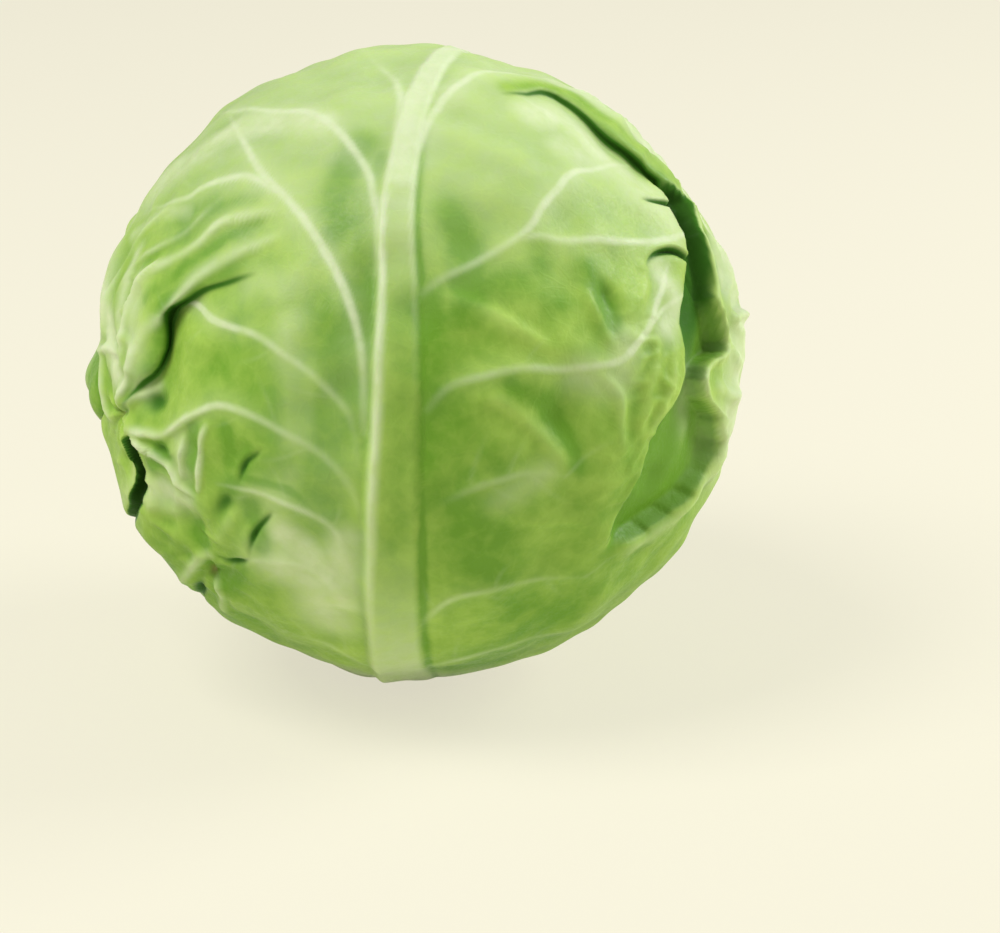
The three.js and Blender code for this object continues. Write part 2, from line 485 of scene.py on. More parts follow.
    def gap(self, points, left_widths, right_widths, depth, lip, over, painted_shadow):
        """An open pleat: a flat-bottomed valley whose edges lie at widths spaced evenly along the
        line, and a lip that leans over it from the side that is on top, right for over=1 and left
        for -1. Its floor and the wall under the lip are painted a deep green as shade, and darkened
        near the line as painted shadow by shares that run from its start to its end. A thin painted
        shadow lies along the wall that isn't on top."""
        chosen, along, side, rightward, past = self.past_edges(points, left_widths, right_widths)
        steep, gentle, lean, edge, shadow, reach = np.array([1.5, 2.4, 1.6, 1.2, 0.9, 9]) * MM
        on_top = over * side > 0
        fade = between(along, 0, 1, 0.06)
        slope = np.where(on_top, steep, gentle) * (1 + smooth_step(along, 0.55, 0.75))
        floor = 1 - smooth_step(past, -slope, 0.5 * slope)
        rolled = on_top * bell(past - 1.5 * slope, 1.4 * slope) * smooth_step(along, 0.04, 0.2)
        self.lift[chosen] += fade * (lip * rolled - depth * floor)
        self.slide[chosen] -= over * rightward * (fade * rolled * lean)[:, None]
        # Painted shadow: the floor darkens near the line, under the lip and along the far wall.
        painted_shadow_share = spaced(painted_shadow, along) * bell(side, reach, 4)
        shaded = np.where(on_top, 1 - smooth_step(past, 0, edge), floor)
        near_wall = ~on_top * 0.7 * bell(past, shadow)
        self.mark("painted_crease_shade", chosen, fade * np.maximum(shaded * painted_shadow_share, near_wall))
        self.mark("deep_green_and_shade", chosen, fade * np.maximum(floor, shaded))
        self.mark("vein", chosen, 0.35 * fade * rolled)

    def paint_half_shade(self, points, width):
        """Painted half-shade along a line: takes the whitish wax off and deepens the green, by a bell
        across it.
        """
        chosen, _, side, _ = self.near(points, 3 * width)
        half_shade = bell(side, width)
        self.marks["wax"][chosen] *= 1 - half_shade
        self.mark("deep_green_and_shade", chosen, 0.35 * half_shade)

    def take_crest(self):
        """Marks ridges and hollows by how far the relief stands over its surroundings a few
        millimetres away."""
        relief = spread_out(self.relief(), 1)
        round_about = spread_out(relief, max(1, round(CREST_REACH / self.pitch)))
        self.marks["crest"] = np.clip((relief - round_about) / CREST_HEIGHT, -1, 1)

    def relief(self):
        """How far each crossing stands over the undisturbed blade."""
        return self.lift + np.cbrt(self.ridges)

    def distance(self, outer_leaves, dips):
        """From the head's middle to every crossing: out to the skin, down under the leaves that
        lie outside this one and into the front leaf's dips, and moved by the relief."""
        depth, relief = 0, self.relief()
        for leaf in outer_leaves:
            depth = depth + LAYER_PITCH * leaf.press(self.out)
            relief = relief * (1 - RELIEF_LOST * leaf.cover(self.out))
        if outer_leaves:
            depth = depth + hollow_depth(self.out, dips)
        return skin_distance(self.out) - depth + relief


def drawn_in(blade):
    """How far a leaf dips below its even course, past the slack, on a square grid of its chart:
    the deepest dip in each cell, spread to the cells round it and smoothed. The margin's own
    waves are left out."""
    dips = np.maximum(0, -blade.relief() - DIP_SLACK) * (blade.share < 0.9)
    angle, clock = blade.leaf.polar(unit(blade.ground + blade.slide))
    row = np.round(angle * np.cos(clock) / DIP_STEP).astype(int) + DIP_CELLS // 2
    column = np.round(angle * np.sin(clock) / DIP_STEP).astype(int) + DIP_CELLS // 2
    grid = np.zeros((DIP_CELLS, DIP_CELLS))
    np.maximum.at(grid, (row, column), dips)
    grid = -lowest_nearby(-grid, 2)
    return spread_out(spread_out(grid, 1), 1)


def hollow_depth(directions, dips):
    """How much deeper the leaves under the front one lie where it is drawn in, straight between
    the grid's crossings."""
    angle, clock = LEAVES[0].polar(directions)
    top = DIP_CELLS - 1.001
    up = np.clip(angle * np.cos(clock) / DIP_STEP + DIP_CELLS // 2, 0, top)
    right = np.clip(angle * np.sin(clock) / DIP_STEP + DIP_CELLS // 2, 0, top)
    row, column = up.astype(int), right.astype(int)
    up, right = up - row, right - column
    low = dips[row, column] * (1 - right) + dips[row, column + 1] * right
    high = dips[row + 1, column] * (1 - right) + dips[row + 1, column + 1] * right
    return low * (1 - up) + high * up


def spread_out(values, reach):
    """The mean of each crossing and of the eight that lie so many crossings away."""
    wide = np.pad(values, reach, mode="edge")
    size = len(values)
    steps = (0, reach, 2 * reach)
    return sum(wide[row:row + size, column:column + size] for row in steps for column in steps) / 9


def lowest_nearby(values, reach):
    """The lowest value within so many crossings of each one, across and up the grid."""
    for axis in (0, 1):
        width = [(reach, reach) if other == axis else (0, 0) for other in (0, 1)]
        wide = np.pad(values, width, mode="edge")
        size = values.shape[axis]
        steps = range(2 * reach + 1)
        runs = [np.take(wide, range(step, step + size), axis) for step in steps]
        values = np.minimum.reduce(runs)
    return values


def rim(cells):
    """The crossings round the edge of a square grid, counter-clockwise."""
    index = np.arange((cells + 1) ** 2).reshape(cells + 1, cells + 1)
    return np.concatenate([index[0, :-1], index[:-1, -1], index[-1, :0:-1], index[:0:-1, 0]])


def grid_quads(cells):
    """The quads of a square grid, counter-clockwise where across is right and rows go up."""
    index = np.arange((cells + 1) ** 2).reshape(cells + 1, cells + 1)
    corners = [index[:-1, :-1], index[:-1, 1:], index[1:, 1:], index[1:, :-1]]
    return np.stack(corners, axis=-1).reshape(-1, 4)


def sheet_faces(cells):
    """A closed sheet: the outer face as a fine grid, the inner face as a coarser grid, and
    between their rims a strip of triangles."""
    inner_cells = cells // COARSER
    inner_start = (cells + 1) ** 2
    inner = grid_quads(inner_cells)[:, ::-1] + inner_start
    fine = np.append(rim(cells), rim(cells)[0])
    coarse = np.append(rim(inner_cells), rim(inner_cells)[0]) + inner_start
    edge = np.arange(len(coarse) - 1)
    first = edge * COARSER
    halfway = COARSER // 2
    strip = [np.stack([coarse[edge], coarse[edge + 1], fine[first + halfway]], 1)]
    for step in range(COARSER):
        apex = coarse[edge] if step < halfway else coarse[edge + 1]
        strip.append(np.stack([fine[first + step + 1], fine[first + step], apex], 1))
    return np.vstack([grid_quads(cells), inner]), np.vstack(strip)


def new_mesh(name, points, quads, triangles, marks):
    """A smooth mesh from arrays of points, quads and triangles, with its marks as attributes."""
    mesh = bpy.data.meshes.new(name)
    mesh.vertices.add(len(points))
    mesh.vertices.foreach_set("co", points.astype(np.float32).ravel())
    corners = np.concatenate([quads.ravel(), triangles.ravel()])
    mesh.loops.add(len(corners))
    mesh.loops.foreach_set("vertex_index", corners.astype(np.int32))
    sizes = np.concatenate([np.full(len(quads), 4), np.full(len(triangles), 3)])
    mesh.polygons.add(len(sizes))
    mesh.polygons.foreach_set("loop_start", (np.cumsum(sizes) - sizes).astype(np.int32))
    mesh.update(calc_edges=True)
    mesh.shade_smooth()
    for mark, values in marks.items():
        attribute = mesh.attributes.new(mark, "FLOAT", "POINT")
        attribute.data.foreach_set("value", values.astype(np.float32))
    return mesh


def add_piece(mesh, node, material):
    """Links the mesh as the piece that stands for a CAD node."""
    piece = bpy.data.objects.new(mesh.name, mesh)
    bpy.context.scene.collection.objects.link(piece)
    mesh.materials.append(material)
    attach(piece, "root")
    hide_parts(node)
    return piece


def add_leaf(blade, outer_leaves, dips, thickness, material):
    """A leaf as a closed sheet. Its inner face lies under the lowest nearby part of the outer
    one, at a depth that thins towards the margin."""
    blade.take_crest()
    radius = blade.distance(outer_leaves, dips)
    outer = HEAD_MIDDLE + blade.out * radius[..., None] + blade.slide
    wall = thickness * (1 - 0.7 * smooth_step(blade.share, 0.86, 1))
    low = lowest_nearby(radius, COARSER) * (blade.share < 1) + radius * (blade.share == 1)
    inner = HEAD_MIDDLE + blade.out * (low - wall)[..., None]
    points = np.vstack([outer.reshape(-1, 3), inner[::COARSER, ::COARSER].reshape(-1, 3)])
    marks = {}
    for name, values in blade.marks.items():
        marks[name] = np.concatenate([values.ravel(), values[::COARSER, ::COARSER].ravel()])
    quads, triangles = sheet_faces(blade.cells)
    name = blade.leaf.name
    mesh = new_mesh(name + "_blade", points, quads, triangles, marks)
    return add_piece(mesh, name, material)


# ---------------------------------------------------------------- the leaves' own lines

# Lines on the front leaf, as chart places in degrees: to the right of and above its middle.
FRONT_MIDRIB = [
    (8, -83), (5, -50), (3, -15), (2, 4), (0, 24), (-2, 36), (-3, 50), (-3, 66), (-1, 80), (2, 92),
    (5, 108),
]
# Each vein with how pale it is from its root to its tip.
FRONT_VEINS = [
    (
        [
            (-4, 27), (-5, 35), (-7, 41), (-10, 47), (-16, 53), (-22, 57), (-28, 59), (-39, 60),
            (-53, 62), (-66, 65),
        ],
        (0.3, 0.7, 0.8, 0.9, 1, 1, 0.7, 0),
    ),
    (
        [
            (-3, 1), (-4, 10), (-5, 15), (-8, 22), (-13, 29), (-21, 37), (-30, 43), (-38, 50),
            (-48, 58), (-62, 68),
        ],
        (0.3, 0.5, 0.65, 0.9, 1, 1, 1, 0.9, 0.5, 0),
    ),
    ([(-26, 40), (-31, 42), (-37, 42), (-44, 39), (-50, 36), (-74, 32)], (0.7, 0.9, 0.9, 0.8, 0.6, 0)),
    (
        [
            (-3, -6), (-5, 2), (-7, 5), (-12, 9), (-16, 11), (-23, 14), (-28, 14.5), (-33, 15),
            (-38, 16), (-42, 16),
        ],
        (0.1, 0.25, 0.4, 0.45, 0.5, 0.6, 0.75, 1, 1, 1),
    ),
    (
        [(-1, -18), (-4, -9), (-9, -4), (-16, -1), (-23, 1), (-29, 1), (-34, -2), (-39, -6), (-43, -9)],
        (0.1, 0.3, 0.35, 0.45, 0.6, 0.8, 0.8, 0.8, 0.4),
    ),
    (
        [(-3, -28), (-5, -22), (-7, -17), (-13, -14), (-21, -13), (-29, -14)],
        (0.1, 0.3, 0.45, 0.6, 0.6, 0.2),
    ),
    ([(-2, -34), (-7, -29), (-13, -26), (-23, -28), (-30, -32)], (0.1, 0.3, 0.4, 0.4, 0.1)),
    ([(-5, 50), (-6, 61), (-8, 68), (-13, 76), (-30, 92)], (0.3, 0.7, 0.8, 0.5, 0)),
    ([(-1, 52), (1, 62), (6, 71), (16, 79), (36, 88)], (0.7, 0.9, 1, 0.8, 0.2)),
    (
        [
            (4, 25), (7, 28), (12, 31), (19, 36), (22, 39), (24, 43), (27, 47), (30, 51), (38, 55),
            (51, 61),
        ],
        (0.3, 0.4, 0.5, 0.6, 0.75, 0.9, 1, 1, 0.8, 0.2),
    ),
    (
        [(16, 34), (22, 37), (28, 37), (36, 38), (46, 39), (56, 41), (62, 44)],
        (0.2, 0.5, 0.6, 0.7, 0.8, 0.9, 0.5),
    ),
    (
        [
            (7, 6), (10, 10), (15, 12), (22, 14), (29, 14), (37, 15), (41, 16), (44, 19), (48, 23),
            (52, 26), (58, 29),
        ],
        (0.2, 0.35, 0.45, 0.5, 0.55, 0.65, 0.85, 0.95, 0.9, 0.8, 0.5),
    ),
    ([(43, 18), (47, 22), (50, 27), (52, 31), (54, 36)], (0.5, 0.9, 1, 0.9, 0.3)),
    ([(11, -10), (15, -7), (20, -5), (27, -4), (40, -7)], (0.1, 0.4, 0.3, 0)),
    ([(8, -42), (14, -30), (30, -27), (48, -30)], (0.1, 0.5, 0.3, 0)),
    ([(8, -58), (18, -50), (36, -46), (52, -50)], (0.1, 0.5, 0.3, 0)),
    ([(0, -58), (-8, -50), (-24, -47)], (0.1, 0.4, 0)),
]

# The veins that stand out most, along which the grid is drawn together.
BOLD_VEINS = FRONT_VEINS[:5] + FRONT_VEINS[9:12]

# Ridges of the crumples, most of them on the left, where the blade bunches up towards a pinched
# knot and a second one lower down: a line, its height and width in millimetres, how pale it is
# and which way it leans.
KNOT = (-58, -10)
LOWER_KNOT = (-33, -37)
RIDGES = [
    (
        [(-20, 36), (-25, 36), (-31, 34), (-36, 32), (-40, 28), (-46, 24), (-51, 20), (-56, 14)],
        1.3, 2.0, 0.6, 0.8,
    ),
    (
        [(-20, 33), (-24, 31), (-30, 28), (-35, 25), (-41, 20), (-45, 15), (-49, 10), (-51, 6), (-53, 1)],
        1.0, 2.0, 0.6, 0.8,
    ),
    ([(-49, 10), (-52, 4), (-54, -1), (-56, -5), (-58, -10)], 1.4, 1.6, 0.8, 0.5),
    ([(-46, 26), (-50, 22), (-54, 17), (-56, 11), (-56, 5), (-56, -3)], 1.2, 1.5, 0.7, 0.5),
    ([(-37, 38), (-43, 32), (-49, 27), (-56, 23), (-64, 17)], 0.9, 1.4, 0.4, 0.8),
    ([(-50, 35), (-56, 32), (-62, 27), (-66, 18)], 0.9, 1.4, 0.4, 0.8),
    ([(-64, 24), (-68, 12), (-68, 2)], 1.0, 1.8, 0.5, 0.0),
    ([(-76, -2), (-68, 1), (-62, 3), (-54, 3)], 1.2, 1.4, 0.8, 0.0),
    ([(-69, 2), (-67, -5), (-65, -12), (-60, -13)], 1.2, 1.5, 0.7, 0.0),
    ([(-36, -5), (-37, -11), (-38, -17)], 1.1, 1.1, 0.6, 0.5),
    ([(-30, -1), (-32, -7), (-33, -15), (-34, -18)], 1.3, 1.2, 0.8, 0.5),
    (
        [(-57, -10), (-52, -11), (-47, -10), (-43, -9), (-39, -6), (-34, -2), (-28, 1)],
        1.3, 1.5, 0.7, -0.4,
    ),
    ([(-56, -11), (-50, -13), (-45, -14), (-41, -15), (-38, -18), (-31, -19)], 1.5, 1.4, 0.85, -0.4),
    ([(-56, -8), (-52, -5), (-48, -3), (-43, 1)], 0.8, 1.2, 0.6, 0.0),
    ([(-52, -22), (-46, -25), (-38, -25)], 0.9, 2.4, 0.3, 0.0),
    ([(-30, -31), (-34, -33), (-40, -42), (-47, -53)], 1.2, 1.8, 0.5, 0.4),
    ([(-32, -36), (-31, -42), (-33, -52)], 1.2, 1.6, 0.5, 0.0),
    ([(-25, -17), (-27, -22), (-30, -28)], 0.9, 2.0, 0.2, 0.0),
    ([(14, 9), (19, 8), (25, 4), (30, -1), (34, -6)], 1.1, 2.4, 0.15, -0.6),
    ([(32, 30), (35.5, 24), (40, 17)], 0.9, 1.6, 0.1, 0.6),
    ([(35, 14), (41, 10), (42, 4), (43, -3)], 1.0, 1.7, 0.2, 0.4),
    ([(16, -8), (26, -13), (38, -15), (48, -26)], 0.9, 3.2, 0.0, -0.6),
    ([(5, 26), (13, 24), (22, 20), (29, 16)], 1.0, 2.4, 0.15, 0.6),
    ([(50, 22), (48, 12), (46, 2)], 0.9, 1.8, 0.15, 0.4),
    ([(54, 20), (52, 10), (48, 0)], 0.9, 1.6, 0.2, -0.4),
    ([(44, 24), (47, 31), (46, 36)], 0.8, 1.8, 0.2, 0.4),
    ([(90, 23), (82, 24), (75, 23)], 2.2, 1.8, 0.4, 0.0),
    ([(84, 2), (76, 6), (68, 9)], 1.6, 2.2, 0.4, 0.0),
    ([(46, 78), (50, 71), (56, 63)], 0.9, 1.4, 0.2, 0.0),
]
# Grooves: a line, its depth and width in millimetres, how dark its painted shadow is, and how
# high the lip beside it stands as a share of its depth.
GROOVES = [
    ([(-52, -6), (-46, -4), (-42, -1)], 1.4, 2.2, 0.4, 0.0),
    ([(-19, -4), (-21, -6), (-23, -8), (-24, -11), (-25, -15)], 0.8, 0.9, 0.45, 0.3),
    ([(-17, -15), (-19, -18), (-21, -21), (-22, -24), (-23, -30)], 0.9, 0.9, 0.6, 0.4),
    ([(-32, -31), (-28, -31), (-24, -29), (-21, -26)], 0.8, 0.9, 0.45, 0.3),
    ([(-25, -13), (-28, -18), (-32, -24)], 0.9, 2.2, 0.35, 0.0),
    ([(-34, -38), (-38, -46), (-42, -58)], 1.4, 1.4, 0.7, 0.4),
    ([(-47, -12), (-43, -12), (-40, -14)], 0.8, 1.5, 0.3, 0.0),
    ([(46, 49), (50, 49), (54, 49), (58, 49), (61, 47)], 1.1, 0.8, 0.75, -0.4),
    (
        [(47, 33), (48, 35), (50, 37), (54, 38), (58, 37), (63, 34), (66, 30), (68, 26)],
        1.4, 0.8, 0.8, -0.5,
    ),
    ([(35, 33), (38, 27), (41, 20)], 1.4, 2.6, 0.15, 0.0),
    ([(92, 27), (84, 27), (76, 26)], 1.2, 1.8, 0.1, 0.0),
]
# The ones along which the grid is drawn together.
SHARP_GROOVES = GROOVES[1:9]
# Soft dents, each with its depth and radius in millimetres.
DENTS = [
    ((-36, -26), 1.8, 5), ((12, 33), 1.2, 10), ((29, 7), 1.5, 8), ((-34, -9), 1.2, 4),
    ((-66, 20), 1.2, 7),
]
# Wrinkled places: a line, and the wrinkles' height, reach and wavelength in millimetres.
WRINKLES = [
    ([(-56, 12), KNOT, (-46, -24), LOWER_KNOT], 0.8, 16, 15),
    ([(50, 82), (68, 55), (76, 36), (80, 12), (76, -8)], 1.3, 13, 17),
    ([(46, 20), (49, 10), (46, -6)], 0.7, 9, 9),
]
# Broad swellings, each with its height and radius in millimetres.
SWELLINGS = [((-47, -37), 2.5, 16), ((82, 30), 3.0, 20)]
# The knots: depth and radius in millimetres, how many wrinkles run out, and their turn in radians.
KNOTS = [(KNOT, 2.5, 11, 7, 0.0), (LOWER_KNOT, 1.6, 8, 6, 1.0)]
LEFT_PLEAT = [
    (-26, 25.5), (-30, 23.7), (-34, 21.7), (-38, 19.7), (-42, 17), (-44.7, 14.5), (-45, 11), (-45, 7),
    (-46.5, 3), (-50.5, -1), (-54, -5), (-57, -9),
]
RIGHT_PLEAT = [
    (14, 70), (17, 71), (21, 73), (25, 76), (30, 77), (36, 73), (41, 69), (46, 65.5), (52, 61.5),
    (57, 58), (61, 54), (64, 49), (66, 43),
]
# How each pleat laps: by how much, its lift, drop and width in millimetres, which side comes out
# on top, and by what shares it does so along its line.
PLEATS = [
    (LEFT_PLEAT, 1.6, 2.4, 1.7, 5, 1, (0, 0.3, 0.45, 0.65, 1, 1, 0.9, 0.6, 0.2, 0)),
    (
        RIGHT_PLEAT, 1.4, 2.0, 1.0, 3.3, -1,
        (0, 0.15, 0.3, 0.45, 0.6, 0.7, 0.8, 0.9, 1, 1, 0.9, 0.5, 0),
    ),
]
# The strip along the fold of the pleat on the right where its lip turns away, painted a deeper
# green without wax as half-shade.
RIGHT_HALF_SHADE_STRIP = [(16, 72), (25, 78), (33, 79), (42, 72), (52, 66), (60, 60), (69, 52), (71, 44), (72, 38)]
# The open pleat on the right and the slit on the left: a line, and how far its left and right
# edges lie from it in millimetres.
RIGHT_GAP = (
    [
        (57, 58), (61, 52), (63, 44), (63, 36), (63, 30), (62, 24), (61, 18), (60, 12), (59, 6),
        (57, 0), (54, -8), (49, -16), (42, -23),
    ],
    [
        1.5, 4, 6.5, 6, 3.6, 5, 6.5, 7.1, 6.8, 12, 18, 18, 12, 6.5, 4.8, 8, 20, 26, 26, 24, 20, 15, 10,
        4, 1,
    ],
    [
        1, 3.5, 6, 8, 7.8, 5, 5, 5.8, 6.2, 6.1, 7.2, 7.7, 6.5, 5, 3.6, 5, 6.3, 7.5, 8.2, 8.7, 8.5, 8,
        7.5, 5, 1,
    ],
)
LEFT_SLIT = (
    [(-53, -12), (-51, -17), (-50, -22), (-52, -28), (-57, -36), (-62, -45)],
    [0.8, 2.6, 3.0, 2.4, 1.2, 0.8], [0.8, 2.2, 3.0, 2.4, 1.2, 0.8],
)

# How deep each gap is and how high its lip, in millimetres, which side is on top, and how dark
# the painted shadow on its floor is along its line.
GAPS = [
    (RIGHT_GAP, 4.8, 1.8, -1, (0.85, 0.9, 0.75, 0.6, 0.5, 0.5, 0.35, 0.1, 0, 0, 0.1, 0.1, 0.2)),
    (LEFT_SLIT, 4.0, 0.5, 1, (0.9, 1, 1, 0.7, 0.5)),
]

# Patches of whitish wax, partly painted light, and of deep green, partly painted shade in hollows
# and on shaded facets: a line, its half-width in millimetres and strength.
WAX_AND_LIGHT_PATCHES = [
    ([(22, 66), (30, 68), (38, 60)], 9, 1.0), ([(30, 58), (42, 56), (54, 48)], 11, 0.75),
    ([(14, 48), (26, 52)], 7, 0.45), ([(-22, 56), (-38, 56), (-48, 52)], 8, 0.9),
    ([(-50, 50), (-66, 42)], 12, 0.8), ([(-40, 48), (-55, 44)], 8, 0.5),
    ([(72, 62), (80, 42), (84, 20), (80, -5)], 13, 1.0), ([(72, 44), (78, 30)], 8, 0.8),
    ([(-7, 12), (-8, 0), (-9, -16)], 8, 0.3), ([(-17, 17), (-15, 8), (-13, -2)], 6, 0.4),
    ([(-81, 20), (-70, 12), (-63, 5), (-58, -1)], 5, 1.0), ([(-46, 34), (-56, 33), (-66, 28)], 3, 0.5),
    ([(-60, 24), (-60, 14), (-57, 6)], 3.5, 0.7), ([(51, 34), (55, 28), (52, 22)], 4, 0.8),
    ([(-16, -20), (-12, -23), (-8, -27)], 6, 0.9), ([(-18, 24), (-26, 22)], 7, 0.35),
    ([(-34, 57), (-44, 54)], 5, 0.7), ([(-17, -26), (-10, -30), (-8, -40)], 8, 0.75),
    ([(-5.5, -19), (-5.5, -34)], 6, 0.8), ([(-14, -8), (-20, -16)], 7, 0.3),
    ([(3, 66), (14, 84), (30, 90)], 12, 0.6), ([(36, 84), (52, 76), (66, 62)], 12, 1.0),
    ([(-3, 46), (-4, 60), (-3, 72), (0, 88)], 6, 0.8), ([(-55, 62), (-76, 34)], 10, 0.5),
    ([(-78, 34), (-76, 20), (-71, 8)], 9, 0.8), ([(20, -9), (28, -4)], 4, 0.3),
    ([(-46, -21), (-38, -21)], 5, 0.8), ([(-54, 18), (-53, 9), (-50, -1)], 5, 0.65),
    ([(-37, -9), (-38, -15)], 4, 0.5), ([(33, 13), (41, 12), (41, 20)], 5, 0.4),
    ([(63, 16), (63, 8), (64, 0)], 4, 0.6),
]
DEEP_GREEN_AND_SHADE_PATCHES = [
    ([(7, 40), (10, 36), (12, 30), (12, 24)], 6, 1.0), ([(11, 28), (21, 28), (28, 26)], 5, 0.8),
    ([(24, 35), (25, 29), (26, 24)], 4, 0.7), ([(33.5, 32), (36, 27), (38, 23)], 4.5, 1.0),
    ([(20, 11), (27, 8), (31, 3), (34, -3)], 3.5, 0.8), ([(12, 6), (15, 1), (19, -2)], 5, 0.7),
    ([(9, 2), (16, -12), (28, -34)], 11, 0.7), ([(5, 24), (7, 14), (9, -10)], 6, 0.8),
    ([(3, 12), (4, -18)], 4, 0.5), ([(46, -16), (38, -34), (20, -60)], 14, 0.6),
    ([(-40, 37), (-48, 32)], 3, 0.4), ([(-28, 34), (-35, 29), (-42, 24), (-50, 16)], 2.0, 0.6),
    ([(-30, 38), (-38, 36), (-46, 30), (-54, 22)], 2.0, 0.5), ([(-34, -5), (-35, -12)], 2.4, 1.0),
    ([(-27, -3), (-26, -9)], 3, 0.8), ([(-35, -28), (-34, -29)], 3, 1.0),
    ([(-26, -33), (-30, -38)], 5, 0.7), ([(-43, -12), (-46, -17)], 3, 0.9),
    ([(-22, -16), (-20, -24)], 4, 0.9), ([(-8, -4), (-9, -14)], 6, 0.9),
    ([(-50, -40), (-30, -60)], 14, 0.5), ([(-12, -4), (-20, -8)], 5, 0.6),
    ([(-22, -6), (-26, -14)], 4, 0.7), ([(-9, -15), (-15, -11), (-24, -11)], 1.8, 0.9),
    ([(-12, 52), (-14, 42), (-12, 34)], 6, 1.0), ([(-8, 50), (-8, 40)], 3, 0.6),
    ([(-14, 44), (-10, 38), (-8, 30)], 6, 0.7), ([(-7, 24), (-6, 0)], 6, 0.9),
    ([(-12, 20), (-14, 6), (-10, -4)], 7, 0.6), ([(-8, 14), (-9, -4), (-9, -15)], 9, 0.9),
    ([(-19, 6), (-18, -8)], 7, 0.6), ([(-24, 20), (-28, 16)], 4, 0.5), ([(-22, 12), (-30, 8)], 5, 0.4),
]


def branches(points, rng, count, length, spread):
    """Small side veins of a vein: each leaves it at an angle, by turns to its left and right,
    and bends a little back along it."""
    chart = smooth_line(points, 20)
    twigs = []
    for number in range(count):
        place = int(20 * (0.25 + 0.65 * (number + rng.uniform(0.1, 0.9)) / count))
        root, run = chart[place], chart[place] - chart[place - 1]
        turn = (-1) ** number * math.radians(rng.uniform(0.7, 1.2) * spread)
        heading = math.atan2(run[1], run[0]) + turn
        reach = length * rng.uniform(0.6, 1.2)
        step = np.array([math.cos(heading), math.sin(heading)]) * reach / 2
        bend = run / np.hypot(*run) * reach * 0.05
        twigs.append([root, root + step - bend, root + 2 * step + bend])
    return twigs


def grown_veins(rng):
    """The lines of a plain leaf: a midrib that wavers a little, and six side veins a side that
    first run along it and then bend out towards the margin."""
    heights = (-83, -50, -20, 15, 50, 85, 104)
    wander = rng.uniform(-2, 2, len(heights))
    midrib = [(part * (0.2 + abs(up) / heights[-1]), up) for part, up in zip(wander, heights)]
    spreads = (62, 76, 80, 70, 54, 34)
    rises = (16, 26, 36, 44, 46, 36)
    lowest_root, root_step = -58, 22
    sides = []
    for number in range(len(spreads)):
        for way in (-1, 1):
            root = lowest_root + root_step * number + 5 * way + rng.uniform(-4, 4)
            spread = spreads[number] + rng.uniform(-5, 5)
            rise = rises[number] + rng.uniform(-5, 5)
            line = []
            for share in (0, 0.1, 0.25, 0.45, 0.7, 1):
                across = way * spread * share**1.35
                line.append((across + rng.uniform(-1, 1), root + rise * (1 - (1 - share) ** 2)))
            sides.append(line)
    return midrib, sides


class CabbageLeafSettings(bpy.types.PropertyGroup):
    """Sizes and colours of the leaves."""

    thickness: bpy.props.FloatProperty(
        name="Thickness", description="Thickness of a leaf's blade", unit="LENGTH", default=0.9 * MM
    )
    midrib_height: bpy.props.FloatProperty(
        name="Midrib Height", description="How far the midrib stands up at its base", unit="LENGTH",
        default=2.6 * MM,
    )
    vein_height: bpy.props.FloatProperty(
        name="Vein Height", description="How far a side vein stands up at its root", unit="LENGTH",
        default=1.3 * MM,
    )
    crumple: bpy.props.FloatProperty(
        name="Crumple", description="Height of the blade's soft bumps", unit="LENGTH", default=0.6 * MM
    )
    light_green: bpy.props.FloatVectorProperty(
        name="Light Green", description="Blade where it is palest", subtype="COLOR", size=3,
        default=(0.40, 0.60, 0.100),
    )
    deep_green: bpy.props.FloatVectorProperty(
        name="Deep Green", description="Blade where it is greenest", subtype="COLOR", size=3,
        default=(0.150, 0.34, 0.022),
    )
    wax: bpy.props.FloatVectorProperty(
        name="Wax", description="Blade under its whitish wax", subtype="COLOR", size=3,
        default=(0.68, 0.78, 0.48),
    )
    vein_pale: bpy.props.FloatVectorProperty(
        name="Vein", description="Midrib and side veins", subtype="COLOR", size=3,
        default=(0.68, 0.78, 0.50),
    )
    inner_green: bpy.props.FloatVectorProperty(
        name="Inner Green", description="Head leaves under the wrappers", subtype="COLOR", size=3,
        default=(0.60, 0.72, 0.27),
    )
    heart_cream: bpy.props.FloatVectorProperty(
        name="Heart Cream", description="Tight heart in the middle", subtype="COLOR", size=3,
        default=(0.80, 0.80, 0.45),
    )


def crumple(blade, sizes, seed):
    """Soft crumples all over, broad ones and finer, lower ones, a margin that settles on the leaf
    below in waves, a base that turns whitish, and a crown that is whitened partly as wax and
    partly as painted light from above."""
    broad, fine, margin_wave, margin_height, margin_drop = np.array([36, 14, 26, 0.9, 1.0]) * MM
    blade.lift += sizes.crumple * bumps(blade.ground, broad, seed)
    blade.lift += 0.4 * sizes.crumple * bumps(blade.ground, fine, seed + 1)
    near_margin = smooth_step(blade.share, 0.88, 1)
    wave = bumps(blade.ground, margin_wave, seed + 2)
    blade.lift += near_margin * (margin_height * wave - margin_drop)
    blade.mark("wax", ..., smooth_step(-blade.out[..., 2], 0.8, 0.97))
    # Painted light: the crown's whitening stands partly for the light from above.
    blade.mark("wax", ..., 0.5 * smooth_step(blade.out[..., 2], 0.35, 0.95))


